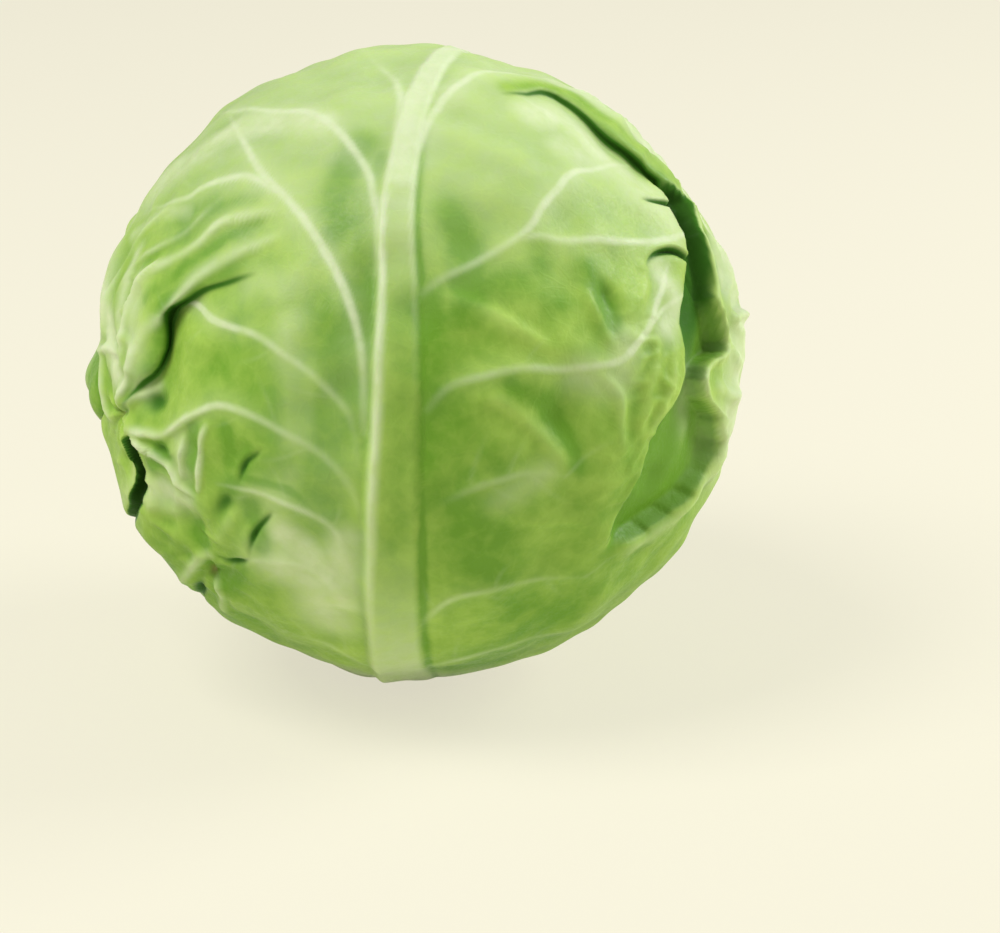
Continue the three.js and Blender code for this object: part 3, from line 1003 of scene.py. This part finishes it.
def add_midrib(blade, points, height):
    """The midrib: a flat-topped band that narrows towards the tip, with a pale rounded edge on
    each side, of which the left one runs further down, and a fine groove on its right. Each
    paleness runs through values at stations from the base to the tip."""
    width, groove_width, groove_depth = 7.0 * MM, 1.3 * MM, 0.2 * MM
    chosen, along, side, _ = blade.near(points, 3 * width)
    half = width * (1 - 0.52 * smooth_step(along, 0.05, 0.72) - 0.14 * smooth_step(along, 0.7, 1))
    across = side / half
    body = 1 - smooth_step(abs(across), 0.75, 1.25)
    edge_width = np.maximum(0.3 * half, 1.3 * blade.pitch)
    left_edge = bell(side + 0.8 * half, edge_width)
    right_edge = bell(side - 0.8 * half, edge_width)
    groove = bell(side - 1.2 * half, max(groove_width, blade.pitch))
    end = 1 - smooth_step(along, 0.9, 1)
    rise = height * (1 - 0.75 * smooth_step(along, 0, 0.8)) * (0.4 + 0.6 * smooth_step(along, 0, 0.15))
    slant = 0.38 * (1 - smooth_step(along, 0.35, 0.6)) * across
    band = rise * body * (0.62 - slant) + 0.15 * rise * left_edge
    blade.lift[chosen] += end * (band - groove_depth * groove)
    # The left edge is paler than the right partly as painted highlight on the side the light comes from.
    stations = (0, 0.1, 0.2, 0.3, 0.4, 0.5, 0.6, 0.7, 1)
    middle = np.interp(along, stations, (0.7, 0.6, 0.1, 0.1, 0.2, 0.4, 0.6, 0.7, 0.65))
    left = np.interp(along, stations, (0.7, 0.5, 0.6, 0.75, 0.9, 0.95, 0.85, 0.8, 0.7))
    right = np.interp(along, stations, (0.7, 0.4, 0, 0.1, 0.35, 0.6, 0.85, 0.9, 0.8))
    pale = np.maximum.reduce([middle * body, left * left_edge, right * right_edge])
    blade.mark("vein", chosen, end * pale)
    # Painted shade: a deeper green along the groove on the midrib's right side.
    blade.mark("deep_green_and_shade", chosen, end * 0.9 * groove * (1 - smooth_step(along, 0.5, 0.75)))


def add_veins(blade, veins, sizes, rng, twigs):
    """Side veins, each with its paleness, and their small, low branches."""
    width, twig_width = 2.1 * MM, 1.0 * MM
    twig_reach, twig_spread = 11, 46
    for points, pales in veins:
        blade.vein(points, sizes.vein_height, width, pales)
        for twig in branches(points, rng, twigs, twig_reach, twig_spread):
            height = 0.2 * sizes.vein_height
            blade.vein(twig, height, twig_width, (0.25, 0.2, 0), within=8 * MM, steps=8)


@functools.cache
def front_blade(sizes):
    """The front wrapper leaf with every line of its own, worked out once."""
    blade = Blade(LEAVES[0], FRONT_CELLS)
    for points in (RIGHT_PLEAT, LEFT_PLEAT, LEFT_SLIT[0]):
        blade.gather(points, 5 * MM)
    blade.gather_edges(*RIGHT_GAP, 2.2 * MM, 0.6)
    for points, *_ in SHARP_GROOVES:
        blade.gather(points, 2 * MM, 0.6)
    for points, _ in BOLD_VEINS:
        blade.gather(points, 2.5 * MM, 0.45)
    crumple(blade, sizes, FRONT_CRUMPLE_SEED)
    add_midrib(blade, FRONT_MIDRIB, sizes.midrib_height)
    rng = np.random.default_rng(FRONT_TWIG_SEED)
    add_veins(blade, FRONT_VEINS, sizes, rng, WRAPPER_TWIGS)
    for points, height, width, pale, lean in RIDGES:
        blade.fold(points, height * MM, width * MM, pale=pale, lean=lean)
    for points, depth, width, painted_shadow, lip in GROOVES:
        blade.fold(points, -depth * MM, width * MM, painted_crease_shade=painted_shadow, lip=lip, ends=0.45)
    for place, depth, radius in DENTS:
        blade.swell(place, -depth * MM, radius * MM)
    for seed, (points, height, reach, wavelength) in enumerate(WRINKLES, WRINKLE_SEED):
        blade.wrinkle(points, height * MM, reach * MM, wavelength * MM, seed)
    for place, height, radius in SWELLINGS:
        blade.swell(place, height * MM, radius * MM)
    for place, depth, radius, pleats, phase in KNOTS:
        blade.pucker(place, depth * MM, radius * MM, pleats, phase)
    for points, lap, lift, drop, width, over, shares in PLEATS:
        blade.pleat(points, lap, lift * MM, drop * MM, width * MM, over, shares)
    for edges, depth, lip, over, painted_shadow in GAPS:
        blade.gap(*edges, depth * MM, lip * MM, over, painted_shadow)
    # Wax patches are partly painted light, and deep green patches partly painted shade.
    for name, patches in (("wax", WAX_AND_LIGHT_PATCHES), ("deep_green_and_shade", DEEP_GREEN_AND_SHADE_PATCHES)):
        for points, width, strength in patches:
            blade.tint(name, points, width * MM, strength)
    blade.paint_half_shade(RIGHT_HALF_SHADE_STRIP, 3 * MM)
    return blade


def plain_blade(number, cells, sizes, twigs):
    """A leaf whose lines are grown from a seed, with a few folds that run in from the margin and
    a deep green patch on each side."""
    folds, fold_width, patch_width = 12, 4.0 * MM, 18 * MM
    blade = Blade(LEAVES[number], cells)
    rng = np.random.default_rng(PLAIN_SEED + number)
    crumple(blade, sizes, PLAIN_CRUMPLE_SEED + 3 * number)
    midrib, sides = grown_veins(rng)
    add_midrib(blade, midrib, sizes.midrib_height)
    pales = np.array([0.2, 0.9, 0.9, 0.7, 0.4, 0])
    veins = [(points, pales * rng.uniform(0.7, 1)) for points in sides]
    add_veins(blade, veins, sizes, rng, twigs)
    for _ in range(folds):
        clock, start = rng.uniform(0, 2 * math.pi), rng.uniform(48, 66)
        way = np.array([math.sin(clock), math.cos(clock)])
        bend = rng.uniform(-6, 6) * way[::-1] * (1, -1)
        points = [start * way, (start + 13) * way + bend, (start + 28) * way]
        blade.fold(points, rng.uniform(0.5, 1.2) * MM, fold_width, pale=0.1)
    blade.tint("deep_green_and_shade", [(-40, 10), (-50, -20)], patch_width, 0.4)
    blade.tint("deep_green_and_shade", [(40, 0), (30, -35)], patch_width, 0.5)
    return blade


def left_blade(sizes):
    """The left wrapper leaf, which bulges out past the front leaf's left margin: a bell, flat
    across and round upwards, about a place in the front leaf's chart."""
    blade = plain_blade(2, WRAPPER_CELLS, sizes, WRAPPER_TWIGS)
    front = LEAVES[0]
    angle, clock = front.polar(blade.out)
    past = angle - front.margin(clock)
    across = (angle * np.sin(clock) - CORNER[0]) / CORNER_SIZE
    up = (angle * np.cos(clock) - CORNER[1]) / CORNER_SIZE
    bulge = np.exp(-(across**4) - up**2)
    blade.lift += CORNER_HEIGHT * bulge * smooth_step(past, -3, 2)
    blade.mark("deep_green_and_shade", ..., np.minimum(0.8, 3 * bulge))
    return blade


def turned_mesh(name, rings, bottom, top):
    """A closed mesh from rings of points, stacked along an axis, and a point at each end."""
    rows, sectors = rings.shape[:2]
    index = np.arange(rows * sectors).reshape(rows, sectors)
    onward = np.roll(index, -1, axis=1)
    quads = np.stack([index[:-1], onward[:-1], onward[1:], index[1:]], -1).reshape(-1, 4)
    first, last = np.full(sectors, rows * sectors), np.full(sectors, rows * sectors + 1)
    foot = np.stack([first, onward[0], index[0]], 1)
    head = np.stack([last, index[-1], onward[-1]], 1)
    caps = np.vstack([foot, head])
    points = np.vstack([rings.reshape(-1, 3), bottom, top])
    return new_mesh(name, points, quads, caps, {})


def stem_radius(height):
    """The stem's radius at a height: the stump, its foot, and the core that tapers to its tip."""
    return np.interp(height, STEM_HEIGHTS, STEM_RADII)


def stem_mesh():
    """The stem: its cut face, its stump, and its core. Each ring is a circle whose radius wavers
    with leaf scars that climb round it and with fibres that run up it, and the edge round the
    cut face is a little worn."""
    sectors, face_rings, side_rings = 120, 26, 96
    bevel, face_waves, scar_height = 0.5 * MM, 0.25 * MM, 3.2 * MM
    turn = np.linspace(0, 2 * math.pi, sectors, endpoint=False)[None, :]
    face = np.linspace(0.04, 0.985, face_rings)[:, None] * (STEM_RADII[0] - bevel)
    outward = face / STEM_RADII[0]
    face_z = face_waves * np.cos(outward * 9) * (1 - outward) + 0 * turn
    height = np.linspace(0.3 * MM, STEM_HEIGHTS[-1] - 0.4 * MM, side_rings)[:, None]
    scars = np.sin(3 * turn + 260 * height) * np.sin(height / scar_height)
    fibres = np.sin(31 * turn + 3 * np.sin(90 * height))
    radius = stem_radius(height) * (1 - 0.012 * (1 + scars) - 0.005 * (1 + fibres))
    worn = np.minimum(1, 0.97 + height / (30 * MM))
    across = np.vstack([face + 0 * turn, radius * worn])
    up = np.vstack([abs(face_z), height + 0 * turn])
    rings = np.stack([across * np.cos(turn), across * np.sin(turn), up], -1)
    tip = [0, 0, STEM_HEIGHTS[-1]]
    return turned_mesh("stem_core", rings, [0, 0, 0.2 * MM], tip)


def heart_mesh(dips):
    """The heart: a ball under all the leaves, whose skin is crumpled and folded, with a pocket
    for the core. Rings run down its outside from the top and then up inside the pocket."""
    sectors, outside_rings, inside_rings, mouth_angle = 128, 78, 30, 0.36
    crumple_height, crumple_length, fold_depth = 0.8 * MM, 24 * MM, 0.7 * MM
    turn = np.linspace(0, 2 * math.pi, sectors, endpoint=False)
    sides = np.stack([np.cos(turn), np.sin(turn), 0 * turn], -1)
    angles = np.linspace(0.02, math.pi - mouth_angle, outside_rings)[:, None, None]
    out = np.sin(angles) * sides + np.cos(angles) * np.array([0, 0, 1])
    depth = LAYER_PITCH * sum(leaf.press(out) for leaf in LEAVES) + hollow_depth(out, dips)
    relief = crumple_height * bumps(out * HEAD_RADIUS, crumple_length, HEART_SEED)
    relief -= fold_depth * abs(np.sin(2.5 * turn + 4 * angles[..., 0])) ** 8
    radius = skin_distance(out) - depth - HEART_GAP + relief
    outside = HEAD_MIDDLE + out * radius[..., None]
    mouth = outside[-1, :, 2]
    top = STEM_HEIGHTS[-1] + STEM_CLEARANCE
    share = np.linspace(0.03, 0.985, inside_rings)[:, None]
    height = mouth + share * (top - mouth)
    inside = stem_radius(height - STEM_CLEARANCE) + STEM_CLEARANCE
    inside = np.stack([inside * np.cos(turn), inside * np.sin(turn), height], -1)
    rings = np.vstack([outside, inside])[::-1]
    return turned_mesh("heart_ball", rings, [0, 0, top], outside[0].mean(axis=0))


# ---------------------------------------------------------------- materials

# How fine each of the leaves' patterns is, in repeats a metre, and how far the net of the
# smallest veins is bent.
PATCH_FINENESS = 26.0
MOTTLE_FINENESS = 210.0
GRAIN_FINENESS = 1100.0
NET_FINENESS = 190.0
BEND_FINENESS = 60.0
NET_BEND = 14 * MM
LEAF_BUMP = 0.45 * MM
DRIED_BROWN = (0.24, 0.19, 0.06, 1)

# The stem's patterns and colours. Its rings are waves across it, in radians a metre, and its
# skin sets in between two radii.
BLOTCH_FINENESS = 160.0
FIBRE_FINENESS = 900.0
RING_WAVES = 2600.0
RING_WANDER = 2.5 * MM
SKIN_FROM = 15.2 * MM
SKIN_TO = 17.2 * MM
STEM_BUMP = 0.4 * MM
FLESH_PALE = (0.72, 0.74, 0.46, 1)
FLESH_GREEN = (0.55, 0.60, 0.28, 1)
FLESH_RING = (0.45, 0.38, 0.18, 1)
STEM_SKIN = (0.46, 0.43, 0.22, 1)


def new_material(name):
    """A material, its node tree and the tree's shader."""
    material = bpy.data.materials.new(name)
    material.use_nodes = True
    return material, material.node_tree, material.node_tree.nodes["Principled BSDF"]


def add_node(tree, kind, inputs=None, **settings):
    """Adds a shader node, sets its fields and fills its sockets with values or links."""
    node = tree.nodes.new(kind)
    for name, value in settings.items():
        setattr(node, name, value)
    for name, value in (inputs or {}).items():
        if isinstance(value, bpy.types.NodeSocket):
            tree.links.new(value, node.inputs[name])
        else:
            node.inputs[name].default_value = value
    return node


def mixed(tree, factor, first, second):
    """A colour mixed from two by a factor."""
    node = add_node(tree, "ShaderNodeMix", data_type="RGBA")
    for socket, value in ((node.inputs[0], factor), (node.inputs[6], first), (node.inputs[7], second)):
        if isinstance(value, bpy.types.NodeSocket):
            tree.links.new(value, socket)
        else:
            socket.default_value = value
    return node.outputs[2]


def ranged(tree, value, low, high, to_low=0.0, to_high=1.0):
    """A value's range carried onto another, with an S-shaped step."""
    inputs = {"Value": value, "From Min": low, "From Max": high, "To Min": to_low, "To Max": to_high}
    node = add_node(tree, "ShaderNodeMapRange", inputs, interpolation_type="SMOOTHSTEP")
    return node.outputs["Result"]


def combined(tree, operation, first, second):
    """Two numbers put together by a sum, product or the like."""
    return add_node(tree, "ShaderNodeMath", {0: first, 1: second}, operation=operation).outputs[0]


def moved(tree, operation, inputs):
    """A vector scaled or added to another."""
    return add_node(tree, "ShaderNodeVectorMath", inputs, operation=operation).outputs[0]


def cloudy(tree, place, fineness, detail, output="Fac"):
    """A cloudy pattern with so many finer layers of detail, as a number or a colour."""
    inputs = {"Vector": place, "Scale": fineness, "Detail": detail}
    return add_node(tree, "ShaderNodeTexNoise", inputs).outputs[output]


def roughen(tree, shader, relief, strength, depth, roughness):
    """Gives a shader a fine bump of this depth and a roughness that varies over the surface."""
    inputs = {"Height": relief, "Strength": strength, "Distance": depth}
    bump = add_node(tree, "ShaderNodeBump", inputs)
    tree.links.new(bump.outputs["Normal"], shader.inputs["Normal"])
    tree.links.new(roughness, shader.inputs["Roughness"])


def leaf_material(name, light, deep_green_and_shade, wax, pale):
    """A waxy leaf: light and deep green that follow the relief and soft patches, partly as painted
    shade in hollows and painted light on ridges, whitish wax that is partly painted light, pale veins,
    a faint net of the smallest veins, painted shade in creases and browned spots."""
    material, tree, shader = new_material(name)
    place = add_node(tree, "ShaderNodeTexCoord").outputs["Object"]
    marks = {}
    for mark in MARKS:
        marks[mark] = add_node(tree, "ShaderNodeAttribute", attribute_name=mark).outputs["Fac"]
    patches = cloudy(tree, place, PATCH_FINENESS, 5.0)
    mottle = cloudy(tree, place, MOTTLE_FINENESS, 4.0)
    grain = cloudy(tree, place, GRAIN_FINENESS, 2.0)
    bend = cloudy(tree, place, BEND_FINENESS, 2.0, "Color")
    bent = moved(tree, "ADD", {0: place, 1: moved(tree, "SCALE", {0: bend, "Scale": NET_BEND})})
    net_inputs = {"Vector": bent, "Scale": NET_FINENESS}
    net = add_node(tree, "ShaderNodeTexVoronoi", net_inputs, feature="DISTANCE_TO_EDGE")
    net_line = ranged(tree, net.outputs["Distance"], 0.0, 0.12, 1.0, 0.0)

    # How deep the green is: patches and mottling, deeper in hollows and lighter on ridges, partly
    # the leaf's own colour and partly painted shade in hollows and painted light on ridges. The deep
    # green mark adds painted shade as well.
    green = ranged(tree, patches, 0.3, 0.7, 0.2, 0.55)
    green = combined(tree, "ADD", green, ranged(tree, mottle, 0.3, 0.7, -0.12, 0.12))
    green = combined(tree, "ADD", green, combined(tree, "MULTIPLY", marks["deep_green_and_shade"], 0.75))
    green = combined(tree, "SUBTRACT", green, combined(tree, "MULTIPLY", marks["crest"], 0.3))
    green = combined(tree, "SUBTRACT", green, combined(tree, "MULTIPLY", net_line, 0.05))
    green = add_node(tree, "ShaderNodeClamp", {"Value": green}).outputs[0]
    blade = mixed(tree, green, light, deep_green_and_shade)

    # Whitish wax, which is partly painted light, is thinner where the green is deep. Veins are mottled
    # too.
    wax_and_light_share = combined(tree, "MULTIPLY", marks["wax"], ranged(tree, marks["deep_green_and_shade"], 0.0, 1.0, 1.0, 0.4))
    wax_and_light_share = combined(tree, "MULTIPLY", wax_and_light_share, ranged(tree, mottle, 0.2, 0.8, 0.65, 1.0))
    blade = mixed(tree, wax_and_light_share, blade, wax)
    vein = ranged(tree, marks["vein"], 0.0, 1.0)
    vein = combined(tree, "MULTIPLY", vein, ranged(tree, mottle, 0.25, 0.7, 0.65, 0.95))
    blade = mixed(tree, vein, blade, pale)

    # Painted shade: creases go through a shaded green to a dark painted shadow.
    shaded = (0.34 * deep_green_and_shade[0], 0.5 * deep_green_and_shade[1], 0.75 * deep_green_and_shade[2], 1)
    painted_shadow = (0.1 * deep_green_and_shade[0], 0.16 * deep_green_and_shade[1], 0.2 * deep_green_and_shade[2], 1)
    blade = mixed(tree, ranged(tree, marks["painted_crease_shade"], 0.0, 0.5), blade, shaded)
    blade = mixed(tree, ranged(tree, marks["painted_crease_shade"], 0.45, 1.0), blade, painted_shadow)
    brown = combined(tree, "MULTIPLY", marks["dry"], ranged(tree, mottle, 0.35, 0.6, 0.3, 1.0))
    tree.links.new(mixed(tree, brown, blade, DRIED_BROWN), shader.inputs["Base Color"])

    relief = combined(tree, "MULTIPLY", net_line, 0.1)
    relief = combined(tree, "ADD", relief, mottle)
    relief = combined(tree, "ADD", relief, combined(tree, "MULTIPLY", grain, 0.25))
    roughen(tree, shader, relief, 0.46, LEAF_BUMP, ranged(tree, grain, 0.3, 0.7, 0.44, 0.6))
    gloss = ranged(tree, marks["painted_crease_shade"], 0.0, 0.6, 0.25, 0.04)
    tree.links.new(gloss, shader.inputs["Specular IOR Level"])
    shader.inputs["Subsurface Weight"].default_value = 0.15
    shader.inputs["Subsurface Radius"].default_value = (0.6, 1.0, 0.25)
    shader.inputs["Subsurface Scale"].default_value = 2 * MM
    return material


def stem_material():
    """A cut stem: pale fibres in rings round its middle on the cut face, browner at its skin,
    and green-white, ribbed flesh above."""
    material, tree, shader = new_material("stem_flesh")
    place = add_node(tree, "ShaderNodeTexCoord").outputs["Object"]
    parts = add_node(tree, "ShaderNodeSeparateXYZ", {0: place}).outputs
    squares = [combined(tree, "POWER", part, 2.0) for part in (parts[0], parts[1])]
    from_axis = combined(tree, "SQRT", combined(tree, "ADD", *squares), 0.0)
    blotch = cloudy(tree, place, BLOTCH_FINENESS, 5.0)
    grain = cloudy(tree, place, FIBRE_FINENESS, 3.0)
    wavering = combined(tree, "ADD", from_axis, combined(tree, "MULTIPLY", blotch, RING_WANDER))
    ring = combined(tree, "SINE", combined(tree, "MULTIPLY", wavering, RING_WAVES), 0.0)
    flesh = mixed(tree, ranged(tree, blotch, 0.3, 0.7), FLESH_PALE, FLESH_GREEN)
    flesh = mixed(tree, ranged(tree, ring, -1.0, 1.0, 0.0, 0.22), flesh, FLESH_RING)
    skin = ranged(tree, wavering, SKIN_FROM, SKIN_TO)
    flesh = mixed(tree, combined(tree, "MULTIPLY", skin, 0.6), flesh, STEM_SKIN)
    tree.links.new(flesh, shader.inputs["Base Color"])
    relief = combined(tree, "ADD", combined(tree, "MULTIPLY", ring, 0.2), grain)
    roughen(tree, shader, relief, 0.35, STEM_BUMP, ranged(tree, grain, 0.3, 0.7, 0.55, 0.75))
    return material


# ---------------------------------------------------------------- stage

# The floor: its colour, how much of it is the plain colour rather than lit paper, and how far
# it runs from the head.
BACKGROUND = (0.9, 0.865, 0.705, 1)
PLAIN_SHARE = 0.75
FLOOR_REACH = 12.0

# Each lamp's name, place from the head's middle, width, power and colour, and the strength of
# the pale surround.
LAMPS = (
    ("key", (-0.80, -0.42, 1.36), 0.8, 21.5, (1.0, 0.98, 0.94)),
    ("rim", (1.20, 0.30, 0.70), 0.7, 15.0, (1.0, 1.0, 1.0)),
)
SURROUND_STRENGTH = 0.29

# The camera: its distance from the head's middle, its angle above the level, its lens, and how
# far right of and below the middle it aims.
CAMERA_DISTANCE = 0.95
CAMERA_ELEVATION = math.radians(18)
CAMERA_LENS = 122.5
AIM_RIGHT = 22.9 * MM
AIM_DOWN = 29.4 * MM


def build_floor():
    """A wide pale floor that shows the background's colour and keeps the head's soft shadow."""
    corners = FLOOR_REACH * np.array([[-1, -1, 0], [1, -1, 0], [1, 1, 0], [-1, 1, 0]])
    mesh = new_mesh("floor", corners, np.array([[0, 1, 2, 3]]), np.zeros((0, 3), int), {})
    floor = bpy.data.objects.new("floor", mesh)
    bpy.context.scene.collection.objects.link(floor)
    material, tree, shader = new_material("floor_paper")
    shader.inputs["Base Color"].default_value = BACKGROUND
    shader.inputs["Roughness"].default_value = 0.9
    shader.inputs["Specular IOR Level"].default_value = 0.0
    rays = add_node(tree, "ShaderNodeLightPath").outputs
    seen = combined(tree, "MAXIMUM", rays["Is Camera Ray"], rays["Is Glossy Ray"])
    seen = combined(tree, "MAXIMUM", seen, rays["Is Transmission Ray"])
    part = combined(tree, "MULTIPLY", seen, PLAIN_SHARE)
    glow = add_node(tree, "ShaderNodeEmission", {"Color": BACKGROUND, "Strength": 1.0})
    layers = {0: part, 1: shader.outputs[0], 2: glow.outputs[0]}
    blend = add_node(tree, "ShaderNodeMixShader", layers)
    tree.links.new(blend.outputs[0], tree.nodes["Material Output"].inputs["Surface"])
    mesh.materials.append(material)


def build_lights():
    """A large soft key from the upper left front, a rim light from behind on the right, and a
    pale surround."""
    for name, offset, size, power, colour in LAMPS:
        lamp = bpy.data.lights.new(name, "AREA")
        lamp.size = size
        lamp.energy = power
        lamp.color = colour
        holder = bpy.data.objects.new(name, lamp)
        holder.location = Vector(HEAD_MIDDLE) + Vector(offset)
        holder.rotation_euler = (-Vector(offset)).to_track_quat("-Z", "Y").to_euler()
        bpy.context.scene.collection.objects.link(holder)
    world = bpy.data.worlds.new("surround")
    bpy.context.scene.world = world
    world.use_nodes = True
    background = world.node_tree.nodes["Background"]
    background.inputs["Color"].default_value = (1, 1, 1, 1)
    background.inputs["Strength"].default_value = SURROUND_STRENGTH
    bpy.context.scene.view_settings.view_transform = "Standard"


def build_camera():
    """A long lens a little above the head, aimed right of and below it so that the head stands
    in the upper left of the picture."""
    camera = bpy.data.cameras.new("camera")
    camera.lens = CAMERA_LENS
    holder = bpy.data.objects.new("camera", camera)
    bpy.context.scene.collection.objects.link(holder)
    middle = Vector(HEAD_MIDDLE)
    level, rise = math.cos(CAMERA_ELEVATION), math.sin(CAMERA_ELEVATION)
    holder.location = middle + CAMERA_DISTANCE * Vector((0, -level, rise))
    aim = middle + Vector((AIM_RIGHT, 0, 0)) - AIM_DOWN * Vector((0, rise, level))
    holder.rotation_euler = (aim - holder.location).to_track_quat("-Z", "Y").to_euler()
    bpy.context.scene.camera = holder


# ---------------------------------------------------------------- operators

# Each skin's name, and the settings that are its light and deep green, its wax and its veins.
WRAPPER_SKIN = ("wrapper_leaf_skin", ("light_green", "deep_green", "wax", "vein_pale"))
HEAD_LEAF_SKIN = ("head_leaf_skin", ("inner_green", "light_green", "wax", "vein_pale"))
HEART_SKIN = ("heart_leaf_skin", ("heart_cream", "inner_green", "heart_cream", "vein_pale"))


def leaf_sizes(settings):
    """The sizes that the leaves' shapes follow, out of the settings."""
    return Sizes(*(getattr(settings, name) for name in Sizes._fields))


def skin_material(settings, name, colours):
    """A leaf material from the settings' colours of these names, made once and shared."""
    shades = [(*getattr(settings, colour), 1) for colour in colours]
    return bpy.data.materials.get(name) or leaf_material(name, *shades)


class CABBAGE_OT_front_leaf(bpy.types.Operator):
    """Builds the front wrapper leaf"""

    bl_idname = "cabbage.front_leaf"
    bl_label = "Front Wrapper Leaf"

    def execute(self, context):
        settings = context.scene.cabbage_leaves
        sizes, material = leaf_sizes(settings), skin_material(settings, *WRAPPER_SKIN)
        add_leaf(front_blade(sizes), [], None, sizes.thickness, material)
        return {"FINISHED"}


class CABBAGE_OT_side_leaves(bpy.types.Operator):
    """Builds the right and left wrapper leaves"""

    bl_idname = "cabbage.side_leaves"
    bl_label = "Side Wrapper Leaves"

    def execute(self, context):
        settings = context.scene.cabbage_leaves
        sizes, material = leaf_sizes(settings), skin_material(settings, *WRAPPER_SKIN)
        dips = drawn_in(front_blade(sizes))
        blades = (plain_blade(1, WRAPPER_CELLS, sizes, WRAPPER_TWIGS), left_blade(sizes))
        for number, blade in enumerate(blades, 1):
            add_leaf(blade, LEAVES[:number], dips, sizes.thickness, material)
        return {"FINISHED"}


class CABBAGE_OT_head_leaves(bpy.types.Operator):
    """Builds the head leaves that nest under the wrapper leaves"""

    bl_idname = "cabbage.head_leaves"
    bl_label = "Head Leaves"

    def execute(self, context):
        settings = context.scene.cabbage_leaves
        sizes, material = leaf_sizes(settings), skin_material(settings, *HEAD_LEAF_SKIN)
        dips = drawn_in(front_blade(sizes))
        for number in range(len(LEAVES) - HEAD_LEAF_COUNT, len(LEAVES)):
            blade = plain_blade(number, HEAD_LEAF_CELLS, sizes, HEAD_LEAF_TWIGS)
            add_leaf(blade, LEAVES[:number], dips, sizes.thickness, material)
        return {"FINISHED"}


class CABBAGE_OT_heart(bpy.types.Operator):
    """Builds the heart inside the head leaves"""

    bl_idname = "cabbage.heart"
    bl_label = "Heart"

    def execute(self, context):
        settings = context.scene.cabbage_leaves
        sizes, material = leaf_sizes(settings), skin_material(settings, *HEART_SKIN)
        dips = drawn_in(front_blade(sizes))
        add_piece(heart_mesh(dips), "heart", material)
        return {"FINISHED"}


class CABBAGE_OT_stem(bpy.types.Operator):
    """Builds the cut stem and its core"""

    bl_idname = "cabbage.stem"
    bl_label = "Stem"

    def execute(self, context):
        add_piece(stem_mesh(), "stem", stem_material())
        return {"FINISHED"}


class CABBAGE_OT_stage(bpy.types.Operator):
    """Builds the floor, the lights and the camera"""

    bl_idname = "cabbage.stage"
    bl_label = "Stage"

    def execute(self, context):
        build_floor()
        build_lights()
        build_camera()
        return {"FINISHED"}


class CABBAGE_PT_panel(bpy.types.Panel):
    """The cabbage's sizes, colours and operators"""

    bl_idname = "CABBAGE_PT_panel"
    bl_label = "White Cabbage"
    bl_space_type = "VIEW_3D"
    bl_region_type = "UI"
    bl_category = "Cabbage"

    def draw(self, context):
        column = self.layout.column()
        for name in CabbageLeafSettings.__annotations__:
            column.prop(context.scene.cabbage_leaves, name)
        for operator in OPERATORS:
            column.operator(operator.bl_idname)


OPERATORS = (
    CABBAGE_OT_front_leaf, CABBAGE_OT_side_leaves, CABBAGE_OT_head_leaves,
    CABBAGE_OT_heart, CABBAGE_OT_stem, CABBAGE_OT_stage,
)
CLASSES = (CabbageLeafSettings, *OPERATORS, CABBAGE_PT_panel)


def register():
    """Adds the classes, and the settings to every scene."""
    for cls in CLASSES:
        bpy.utils.register_class(cls)
    bpy.types.Scene.cabbage_leaves = bpy.props.PointerProperty(type=CabbageLeafSettings)


def unregister():
    """Takes away what register() added."""
    del bpy.types.Scene.cabbage_leaves
    for cls in reversed(CLASSES):
        bpy.utils.unregister_class(cls)


def main():
    """Builds every piece and the stage."""
    register()
    bpy.ops.cabbage.front_leaf()
    bpy.ops.cabbage.side_leaves()
    bpy.ops.cabbage.head_leaves()
    bpy.ops.cabbage.heart()
    bpy.ops.cabbage.stem()
    bpy.ops.cabbage.stage()


if __name__ == "__main__":
    main()
